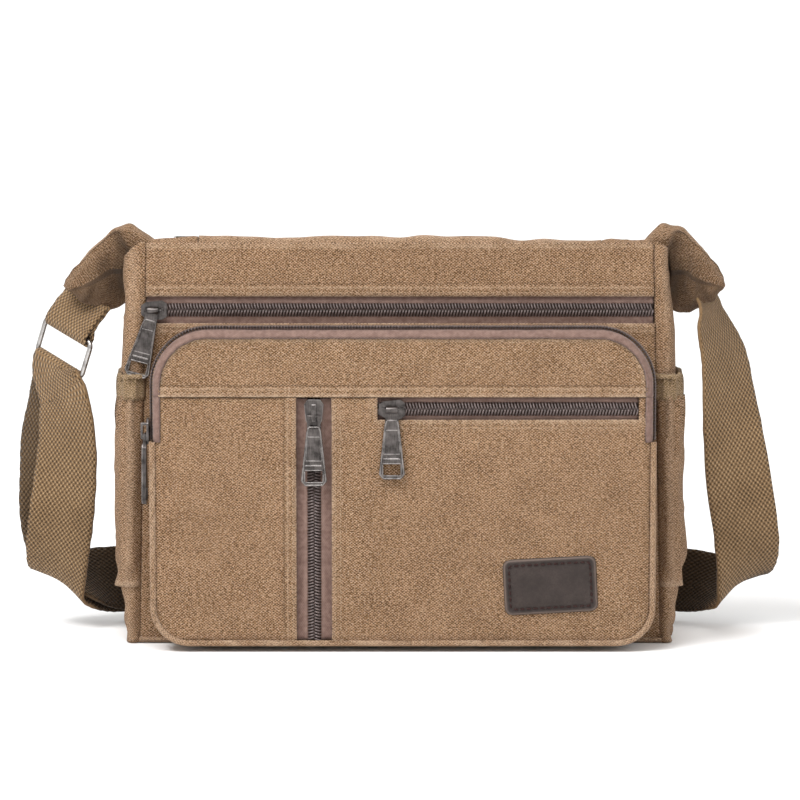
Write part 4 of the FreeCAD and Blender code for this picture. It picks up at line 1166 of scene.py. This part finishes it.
def pouch_door():
    """The plain top band of the pouch, which folds down when the arch zip is open."""
    rise = np.concatenate([np.linspace(0, 0.8, 26, endpoint=False),
                           0.8 + 0.2 * np.sin(np.linspace(0, math.pi / 2, 14))])
    z = DOOR_Z + (TOP - ARCH_BAND - DOOR_Z) * rise
    share = np.linspace(0, 1, 130)
    x, z = spread(z, outline_x(z, ARCH_BAND, -1), outline_x(z, ARCH_BAND, 1), share)
    low = z - DOOR_Z
    rim = np.minimum(np.minimum(x - outline_x(z, ARCH_BAND, -1), outline_x(z, ARCH_BAND, 1) - x),
                     TOP - ARCH_BAND - z)
    height = (pouch_puff(x, z) * 0.9 + hem(low, POUCH_HEM, 1.0) + pucker(low - 6.5, x, 111)
              + 0.5 * ease((3.2 - rim) / 1.6) + pucker(rim - 3, x + z, 112) + 0.1)
    wear_and_shade = hem_wear_and_shade(low, POUCH_HEM, x) * 1.15 + 0.25 * bell((rim - 2.5) / 1.2)
    front_cloth("pouch_top", "pouch_door", x, z, height, wear_and_shade, POUCH_Y, replaces=["pouch_top_band"])
    along = np.linspace(LEFT + ARCH_BAND + 1, RIGHT - ARCH_BAND - 1, 260)
    for inner in (FIRST_ROW, 5.2):
        pouch_stitches(along, np.full_like(along, DOOR_Z + inner), "pouch_door", 0.9, 0.85)
    path, out = arch_path()
    inside = path - out * (ARCH_BAND + 1.8)
    path = inside[inside[:, 1] > DOOR_Z + 6]
    pouch_stitches(path[:, 0], path[:, 1], "pouch_door", 0.9, 0.5)


def arch_zip():
    path, out = arch_path()
    low = path[:, 1] < DOOR_Z - 0.1
    middle = len(path) // 2
    left_low = np.flatnonzero(low[:middle])
    right_low = middle + np.flatnonzero(low[middle:])
    door = np.flatnonzero(~low)
    front = [(-ARCH_BAND - 0.6, POUCH_Y + 0.3), (-ARCH_BAND + 0.2, POUCH_Y - 0.9), (-5.0, POUCH_Y - 1.5),
             (-3.0, POUCH_Y - 1.4), (-1.4, POUCH_Y - 0.7), (-0.3, POUCH_Y + 0.8), (0.15, POUCH_Y + 3.0),
             (0.0, POUCH_Y + 6.0), (-0.1, ARCH_ZIP_Y - COIL_HALF), (-0.3, ARCH_ZIP_Y - SLIT)]
    rear = [(-0.3, ARCH_ZIP_Y + SLIT), (-0.1, ARCH_ZIP_Y + COIL_HALF), (0.0, ARCH_ZIP_Y + 7.0),
            (-0.4, ARCH_ZIP_Y + 10.0)]
    for name, body, rows, replaced in (("arch_tape_door", "pouch_door", door, ["arch_zip_door_tape"]),
                                       ("arch_tape_left", "root", left_low, ["arch_zip_tape"]),
                                       ("arch_tape_right", "root", right_low, [])):
        grid = swept(path[rows], out[rows], front)
        run = lengths(grid, 0)
        grid = push(grid, 0.16 * np.sin(run / 1.5) * bell((np.arange(10) - 3) / 2.5)[None]
                    + 0.25 * noise(run / 10, 0, 121))
        # Pale wear along the tape's rounded front, and painted shade where it tucks in at the band's edge.
        cloth(name, body, grid, "tape", 0.7, replaces=replaced,
              wear_and_shade=np.broadcast_to(0.12 * bell((np.arange(10) - 3.2) / 1.6)[None]
                                   - 0.35 * bell(np.arange(10) / 1.1)[None], run.shape))
    grid = swept(path, out, curve(rear, 2))
    cloth("arch_tape_rear", "root", grid, "tape", 0.7)

    edge = np.stack([path[:, 0], np.full(len(path), ARCH_ZIP_Y), path[:, 1]], -1)
    facing = np.stack([out[:, 0], np.zeros(len(out)), out[:, 1]], -1)
    six = np.hstack([edge, facing])
    run = lengths(edge)
    for side in (-1, 1):
        at = np.arange(1.0 + (side > 0) * PITCH / 2, run[-1] - 1, PITCH)
        rows = np.stack([np.interp(at, run, six[:, k]) for k in range(6)], -1)
        origins, outward = rows[:, :3] - unit(rows[:, 3:]) * 0.1, unit(rows[:, 3:])
        across = np.broadcast_to([0.0, 1.0, 0.0], origins.shape)
        along = np.cross(across, outward)
        if side > 0:
            teeth("arch_coil_rear", "root", origins, along, across, outward, side,
                  replaces=["arch_zip_teeth"])
            continue
        high = origins[:, 2] > DOOR_Z
        teeth("arch_coil_door", "pouch_door", origins[high], along[high], across[high], outward[high],
              side, replaces=["arch_zip_door_teeth"])
        for name, chosen in (("left", ~high & (origins[:, 0] < 0)), ("right", ~high & (origins[:, 0] > 0))):
            teeth("arch_coil_%s" % name, "root", origins[chosen], along[chosen], across[chosen],
                  outward[chosen], side)


def pouch_wall():
    """The canvas side of the pouch: a strip behind the zip, and its full depth lower down."""
    up, up_out = arch_path()
    down, down_out = base_path()
    loop, loop_out = np.vstack([up[:-1], down[:-1]]), np.vstack([up_out[:-1], down_out[:-1]])
    section = curve([(1.7, ARCH_ZIP_Y + 8.0), (2.1, -50.0), (2.0, -45.0), (1.6, FRONT_Y - 0.1)], 4)
    grid = swept(loop, loop_out, section)
    run = np.arange(len(loop))[:, None] * OUTLINE_STEP
    y = grid[..., 1]
    ripple = 0.5 * noise(run / 17, y / 9, 131) + pucker(y - FRONT_Y, run, 132, 0.3)
    grid = push(grid, ripple * ease((y - y.min()) / 3) * ease((FRONT_Y + 1 - y) / 3))
    cloth("pouch_wall", "root", grid, closed=True, wear_and_shade=0.5 * bell((y - y.min()) / 1.2),
          replaces=["pouch_gusset"])
    section = curve([(-1.6, POUCH_Y - 0.1), (0.0, POUCH_Y - 1.2), (1.6, POUCH_Y - 1.1), (2.4, POUCH_Y + 0.8),
                     (2.0, POUCH_Y + 4), (2.4, POUCH_Y + 11), (1.9, ARCH_ZIP_Y + 8.2)], 4)
    grid = swept(down, down_out, section)
    run = lengths(grid, 0)
    y = grid[..., 1]
    folds = 0.7 * noise(run / 21, y / 12, 133) + pucker(y - POUCH_Y, run, 134, 0.35)
    in_corner = bell((np.abs(grid[..., 0] - 1) - 140) / 16) * bell((grid[..., 2] - 16) / 18)
    folds = folds + 1.0 * in_corner * np.sin(run / 2.4)
    grid = push(grid, folds * ease((y - POUCH_Y - 2) / 3))
    grid[..., 2] = np.maximum(grid[..., 2], 0.6)
    cloth("pouch_lower_wall", "root", grid, wear_and_shade=0.55 * bell((y - POUCH_Y + 0.6) / 1.3)
          * (0.6 + 0.5 * noise(run / 8, 0, 135)))


def label_patch():
    """A leather patch with rounded, burnished edges and a stitched border."""
    width, height, corner, thick, tilt = 58.0, 35.0, 5.0, 1.5, math.radians(-3)
    cx, cz = 93.0, 42.0
    z = ticks(-height / 2, -height / 2 + corner, height / 2 - corner, height / 2, step=0.9)
    over = np.clip(np.abs(z) - (height / 2 - corner), 0, corner)
    half = width / 2 - corner + np.sqrt(np.maximum(corner ** 2 - over ** 2, 0))
    x, z = spread(z, -half, half, np.linspace(0, 1, 70))
    corner_x = np.maximum(np.abs(x) - (width / 2 - corner), 0)
    corner_z = np.maximum(np.abs(z) - (height / 2 - corner), 0)
    rim = np.where((corner_x > 0) & (corner_z > 0), corner - np.hypot(corner_x, corner_z),
                   np.minimum(width / 2 - np.abs(x), height / 2 - np.abs(z)))
    rise = thick * np.sqrt(np.clip(1 - (1 - np.clip(rim, 0, 1.1) / 1.1) ** 2, 0, 1))
    rise = rise - 0.28 * bell((rim - 3.4) / 0.8) + 0.12 * noise(x / 7, z / 7, 141)
    turned = np.stack([cx + x * math.cos(tilt) + z * math.sin(tilt),
                       POUCH_Y - 1.1 - rise, cz - x * math.sin(tilt) + z * math.cos(tilt)], -1)
    turned[..., 1] -= 0.6 * (pouch_puff(turned[..., 0], turned[..., 2]) - 1.2)
    cloth("leather_patch", "root", turned, "leather", 1.6, uv=np.stack([x, z], -1) * MM,
          wear_and_shade=0.9 * bell((rim - 0.9) / 0.6), replaces=["label_patch"])
    inner = 3.9
    w, h, r = width / 2 - inner, height / 2 - inner, corner - inner + 1.2
    turn = np.linspace(0, math.pi / 2, 6)
    loop = []
    for sx, sz, start in ((1, 1, 0), (-1, 1, 1), (-1, -1, 2), (1, -1, 3)):
        angle = turn + start * math.pi / 2
        loop += [(sx * (w - r) + r * math.cos(a), sz * (h - r) + r * math.sin(a)) for a in angle]
    loop = np.array(loop + loop[:1])
    px = cx + loop[:, 0] * math.cos(tilt) + loop[:, 1] * math.sin(tilt)
    pz = cz - loop[:, 0] * math.sin(tilt) + loop[:, 1] * math.cos(tilt)
    py = POUCH_Y - 1.1 - thick + 0.18 - 0.6 * (pouch_puff(px, pz) - 1.2)
    stitches("root", np.stack([px, py - 0.15, pz], -1), (0, -1, 0), 2.6, 1.5, 0.72, "dark thread")


# ---- strap -----------------------------------------------------------------------------------

RING_BAR = np.array([-217.0, -9.0, 173.5])
RING_ACROSS = unit(np.array([0.68, -0.66, -0.32]))
RING_LEAN = np.array([0.15, 0.0, 1.0])
RING_UP = unit(RING_LEAN - RING_ACROSS * (RING_LEAN @ RING_ACROSS))
RING_OUT = np.cross(RING_ACROSS, RING_UP)
LAYER_AT_RING = 2.9
TURN_GAP = 1.4

# Routes of the webbing, as in the CAD source: each point's centre and the way its width lies.
LEFT_LEG = [
    (tuple(RING_BAR + RING_OUT * LAYER_AT_RING + RING_UP * 0.6), tuple(RING_ACROSS)),
    ((-212.8, -15.6, 149), (0.80, -0.58, -0.15)),
    ((-211.5, -16.5, 124), (0.90, -0.43, 0.0)),
    ((-213.5, -13, 98), (0.96, -0.28, 0.0)),
    ((-217, -7, 73), (1.0, -0.12, -0.08)),
    ((-220.5, 2, 50), (0.96, -0.18, -0.24)),
    ((-221, 15, 32), (0.86, -0.24, -0.44)),
    ((-211, 30, 27), (0.64, -0.40, -0.66)),
    ((-197, 43, 26), (0.45, -0.3, -0.84)),
    ((-178, 53, 26), (0.2, -0.15, -0.97)),
    ((REAR_LEFT, 61, STRAP_REAR_Z), (0.0, 0.0, -1.0)),
]
RETURN_OFFSETS = [(3, 2 * LAYER_AT_RING), (17, 7.5), (18.5, 9), (14, 10), (8.5, 10), (5, 9.5),
                  (3, 8.5), (2, 7), (1, 6), (0.5, 5), (0, 4)]
RIGHT_LEG = [
    ((199, -12, 201), (0.50, 0.80, 0.33)),
    ((205.5, -14, 180), (0.68, 0.70, 0.22)),
    ((208.5, -15, 154), (0.80, 0.58, 0.12)),
    ((212.5, -14, 122), (0.94, 0.32, 0.05)),
    ((217, -9, 93), (1.0, 0.12, 0.0)),
    ((222, -1, 66), (1.0, 0.05, 0.1)),
    ((224, 9, 43), (0.94, 0.18, 0.28)),
    ((220, 22, 27.5), (0.84, 0.26, 0.48)),
    ((207, 36, 26), (0.58, 0.36, 0.73)),
    ((189, 49, 26), (0.3, 0.2, 0.93)),
    ((168, 57, 26), (0.12, 0.08, 0.99)),
    ((REAR_RIGHT, 61, STRAP_REAR_Z), (0.0, 0.0, 1.0)),
]


def webbing(name, body, route, width, thick, count=7, narrow=0.0, shade=0.0, replaces=()):
    """Flat webbing through a route of (centre, way of its width), gathered by narrow at its end."""
    six = curve([np.array([*centre, *across], float) for centre, across in route], count)
    centre = six[:, :3]
    along = unit(np.gradient(centre, axis=0))
    across = six[:, 3:]
    across = unit(across - along * (across * along).sum(-1, keepdims=True))
    normal = np.cross(along, across)
    share = np.linspace(-0.5, 0.5, 15)
    run = lengths(centre)
    free = (ease((run - 22) / 45) * (1 - ease((centre[:, 1] - 20) / 15)))[:, None]
    cup = 1.1 * free * (4 * share[None] ** 2 - 0.4) * (0.5 + 0.5 * noise(run / 45, 0, 151))[:, None]
    sway = 0.8 * free * noise(run[:, None] / 32, share[None] * 2, 152)
    gathered = 1 - narrow * ease((run - run[-1] + 26) / 20)[:, None, None]
    points = (centre[:, None] + across[:, None] * (share * width)[None, :, None] * gathered
              + normal[:, None] * (cup + sway)[..., None])
    tooth = 0.22 * np.sin(run * math.pi / 1.05)
    points[:, 0] -= across * tooth[:, None]
    points[:, -1] += across * tooth[:, None]
    uv = np.stack(np.broadcast_arrays(run[:, None], (share * width)[None]), -1) * MM
    # Painted shade: webbing that runs behind the bag near the floor is darkened as if in shadow, and the
    # whole piece by shade.
    behind = ease((points[..., 1] - 14) / 14) * ease((60 - points[..., 2]) / 20)
    wear_and_shade = -shade - (BEHIND_SHADE - shade) * behind
    obj = cloth(name, body, points, "webbing", thick, uv=uv, wear_and_shade=wear_and_shade, offset=0.0, replaces=replaces)
    return obj, run[-1]


def eased(route):
    """The route with points added to its first stretch, which leaves the ring straight down."""
    a, b, c = (np.array([*centre, *across], float) for centre, across in route[:3])
    down = np.append(-RING_UP * np.linalg.norm((b - a)[:3]), (0, 0, 0))
    added = []
    for t in (0.05, 0.13, 0.25, 0.42, 0.68):
        point = (a * (2 * t ** 3 - 3 * t * t + 1) + down * (t ** 3 - 2 * t * t + t)
                 + b * (3 * t * t - 2 * t ** 3) + (c - a) / 2 * (t ** 3 - t * t))
        added.append((tuple(point[:3]), tuple(point[3:])))
    return route[:1] + added + route[1:]


def return_route():
    """The second layer's route: beside the left leg, inside it, then to the adjuster."""
    route = []
    for i, (centre, across) in enumerate(LEFT_LEG):
        side, depth = RETURN_OFFSETS[i]
        before, after = LEFT_LEG[max(i - 1, 0)][0], LEFT_LEG[min(i + 1, len(LEFT_LEG) - 1)][0]
        way = unit(np.array(after, float) - before)
        width_vector = unit(np.array(across) - way * (np.array(across) @ way))
        normal = np.cross(way, width_vector)
        if i == 0:
            width_vector, normal = RING_ACROSS, RING_OUT
            centre = np.array(centre) - RING_UP * TURN_GAP
        route.append((tuple(np.array(centre) - width_vector * side - normal * depth), across))
    for x in (REAR_LEFT + 12, REAR_LEFT + 38, ADJUSTER_X - 14):
        route.append(((x, RETURN_Y, STRAP_REAR_Z), (0.0, 0.0, -1.0)))
    return route


def strap():
    turn = [(tuple(RING_BAR + LAYER_AT_RING * (RING_OUT * math.cos(a) + RING_UP * math.sin(a))),
             tuple(RING_ACROSS)) for a in np.linspace(math.radians(170), math.radians(25), 6)]
    rear = [((x, 62, STRAP_REAR_Z), (0.0, 0.0, -1.0)) for x in (-120, -60, 0, 60, 110)]
    right = [(centre, tuple(-np.array(across))) for centre, across in RIGHT_LEG[:0:-1]]
    right.append(((198.0, -12, 201), tuple(-np.array([0.44, 0.84, 0.31]))))
    top = [((195.0, -12, 213), tuple(-np.array([0.38, 0.87, 0.28]))),
           ((190.0, -12, 224), tuple(-np.array([0.36, 0.88, 0.28])))]
    route = turn + eased(LEFT_LEG) + rear + right + top
    obj, length = webbing("strap_webbing", None, route, WEB_WIDTH, WEB_THICK, narrow=0.3,
                          replaces=["strap_left", "strap_rear", "strap_right"])
    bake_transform(obj)

    obj, length = webbing("strap_return_webbing", None, eased(return_route()), WEB_WIDTH, WEB_THICK,
                          shade=RETURN_SHADE, replaces=["strap_left_return", "strap_end_tab"])
    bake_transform(obj)

    upper = RING_BAR + RING_UP * RING_RISE
    loop = [(25, -6.6, 1.5), (19, -4.2, 1), (13, -1.0, 0.5), (7, 1.4, 0), (3, 3.0, 0), (0, 3.1, 0),
            (-2.9, 1.2, 0), (-2.9, -1.2, 0), (0, -3.1, 0), (3, -3.0, 0), (7, -2.2, 0), (13, -4.0, 0.5),
            (19, -7.0, 1), (25, -9.4, 1.5)]
    route = [(tuple(upper + RING_UP * rise + RING_OUT * out + RING_ACROSS * shift), tuple(RING_ACROSS))
             for rise, out, shift in loop]
    obj, length = webbing("ring_tab_webbing", None, route, TAB_WIDTH, TAB_THICK, 4,
                          replaces=["ring_tab"])
    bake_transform(obj)


# ---- metal -----------------------------------------------------------------------------------

def metal():
    """The CAD metal keeps its shape, with rounded edges that are worn bright and carry a painted highlight.
    """
    kept = [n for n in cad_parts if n.endswith(("_slider", "_pull"))]
    for name, finish in [(n, "gunmetal") for n in kept] + [("strap_adjuster", "gunmetal"),
                                                           ("strap_ring", "ring")]:
        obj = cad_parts[name]
        material, slot = FINISH[finish]
        obj.data.materials.clear()
        obj.data.materials.append(material)
        obj.data.materials.append(FINISH["worn metal"][0])
        weld = obj.modifiers.new("weld", "WELD")
        weld.merge_threshold = 0.00002
        if name == "strap_ring":
            continue
        bevel = obj.modifiers.new("edges", "BEVEL")
        bevel.width = 0.00028
        bevel.segments = 2
        bevel.limit_method = "ANGLE"
        bevel.angle_limit = math.radians(32)
        bevel.material = 1
        bevel.harden_normals = False


# Frames on a pull's plate, from its hinge down: corners, the frame's radius and how far out it is.
PLATE = [(-3.1, -6.5), (3.1, -6.5), (4.0, -9), (7.4, -39.6), (5.2, -42.4), (-5.2, -42.4),
         (-7.4, -39.6), (-4.0, -9), (-3.1, -6.5)]
WINDOW = [(-5.7, -33.2), (5.7, -33.2), (5.7, -40.8), (-5.7, -40.8), (-5.7, -33.2)]
RECESS = [(-3.9, -12.6), (3.9, -12.6), (5.1, -27.4), (-5.1, -27.4), (-3.9, -12.6)]
RIDGE = [(-5.4, -30.4), (5.4, -30.4)]
TRIM = [(PLATE, 0.6, 0.05), (WINDOW, 0.45, 0.05), (RECESS, 0.4, 0.0), (RIDGE, 0.9, -0.5)]


def pull_trim():
    """Raised frames on each pull's plate, rubbed bright and carrying a painted highlight: round its outline,
    its window and its recess.
    """
    inner, back_in = POUCH_Y + CANVAS, back_y(BACK_ZIP_Z) - CANVAS
    lift, low_lift = 6.8, 5.7
    pulls = {"front": ((-153.9, FRONT_Y + CANVAS - lift, FRONT_ZIP_Z), (1, 0, 0), (0, 0, 1), 15.0, 0.0),
             "right_pouch": ((-5, inner - lift, H_ZIP_Z), (1, 0, 0), (0, 0, 1), 0.0, 0.0),
             "left_pouch": ((V_ZIP_X, inner - low_lift, 147.3), (1, 0, 0), (0, 0, 1), 0.0, 1.1),
             "arch": ((LEFT - low_lift, ARCH_ZIP_Y, 134.8), (0, -1, 0), (0, 0, 1), 0.0, 1.1),
             "top": ((-138, MOUTH_Y, MOUTH_Z + lift), (-1, 0, 0), (0, -1, 0), 0.0, 0.0),
             "back": ((-100, back_in + lift * BACK_OUT[1], BACK_ZIP_Z + lift * BACK_OUT[2]),
                      (-1, 0, 0), BACK_UP, 0.0, 0.0)}
    for name, (bar, x_way, y_way, tilt, face) in pulls.items():
        bar, x_way, y_way = (np.array(v, float) for v in (bar, x_way, y_way))
        out = np.cross(x_way, y_way)
        c, s = math.cos(math.radians(tilt)), -math.sin(math.radians(tilt))
        frames = []
        for corners, radius, rise in TRIM:
            turned = [(x * c - y * s, x * s + y * c, face + rise) for x, y in corners]
            path = resampled(turned, 0.7)
            placed = bar + path[:, 0:1] * x_way + path[:, 1:2] * y_way + path[:, 2:3] * out
            frames.append(tube(placed, radius, 6))
        add("%s_pull_frame" % name, "%s_zip_pull" % name, *merged(frames), "worn metal")


# ---- stage -----------------------------------------------------------------------------------

def aimed(name, data, place, target):
    """A lamp or camera at a place, turned to its target."""
    obj = bpy.data.objects.new(name, data)
    obj.location = place
    obj.rotation_euler = (Vector(target) - obj.location).to_track_quat("-Z", "Y").to_euler()
    bpy.context.scene.collection.objects.link(obj)
    return obj


def pale_floor():
    """A round white floor that curves up into a low wall."""
    floor_look = Look("pale floor", Roughness=0.9, Specular_IOR_Level=0.05)
    floor_look.shader.inputs["Base Color"].default_value = (0.95, 0.95, 0.95, 1)
    angle = np.linspace(0, math.pi / 2, 16)
    profile = [(0.02, 0), (1, 0), (3, 0), (4, 0)]
    profile += [(4 + math.sin(a), 1 - math.cos(a)) for a in angle] + [(5, 1.5)]
    sides = 64
    turn = np.linspace(0, 2 * math.pi, sides, endpoint=False)
    corners = [(x * math.cos(t), x * math.sin(t), z) for x, z in profile for t in turn]
    faces = []
    for low in range(0, (len(profile) - 1) * sides, sides):
        high = low + sides
        faces += [(low + i, high + i, high + (i + 1) % sides, low + (i + 1) % sides) for i in range(sides)]
    faces.append(tuple(range(sides)))
    mesh = bpy.data.meshes.new("floor")
    mesh.from_pydata(corners, [], faces)
    mesh.polygons.foreach_set("use_smooth", [True] * len(mesh.polygons))
    mesh.materials.append(floor_look.material)
    floor = bpy.data.objects.new("floor", mesh)
    bpy.context.scene.collection.objects.link(floor)


def studio_light():
    world = bpy.data.worlds.new("studio")
    world.use_nodes = True
    world.node_tree.nodes["Background"].inputs[0].default_value = (1.0, 0.99, 0.975, 1)
    world.node_tree.nodes["Background"].inputs[1].default_value = 0.56
    bpy.context.scene.world = world
    bpy.context.scene.view_settings.view_transform = "Standard"

    soft = bpy.data.lights.new("softbox", "AREA")
    soft.size, soft.energy = 0.5, 4.4
    aimed("softbox", soft, (-0.2, -0.55, 0.74), (0, -0.05, 0.15))
    for name, place, spread_angle, strength in (("key", (-0.75, -0.8, 1.5), 20, 1.55),
                                                ("fill", (1.3, -1.2, 0.95), 50, 0.5),
                                                ("rear", (0.4, 1.0, 1.7), 40, 0.9)):
        light = bpy.data.lights.new(name, "SUN")
        light.angle, light.energy = math.radians(spread_angle), strength
        aimed(name, light, place, (0, 0, 0))


def photo_camera():
    camera = bpy.data.cameras.new("camera")
    camera.lens, camera.sensor_width = 136.5, 36.0
    bpy.context.scene.camera = aimed("camera", camera, (0.0, -1.931, 0.336), (0, -0.04, 0.154))


front()
gussets()
side_pockets()
back()
bottom()
ears()
top()
lining()
zips()
pouch_panels()
pouch_door()
arch_zip()
pouch_wall()
label_patch()
strap()
metal()
pull_trim()
sew()
pale_floor()
studio_light()
photo_camera()
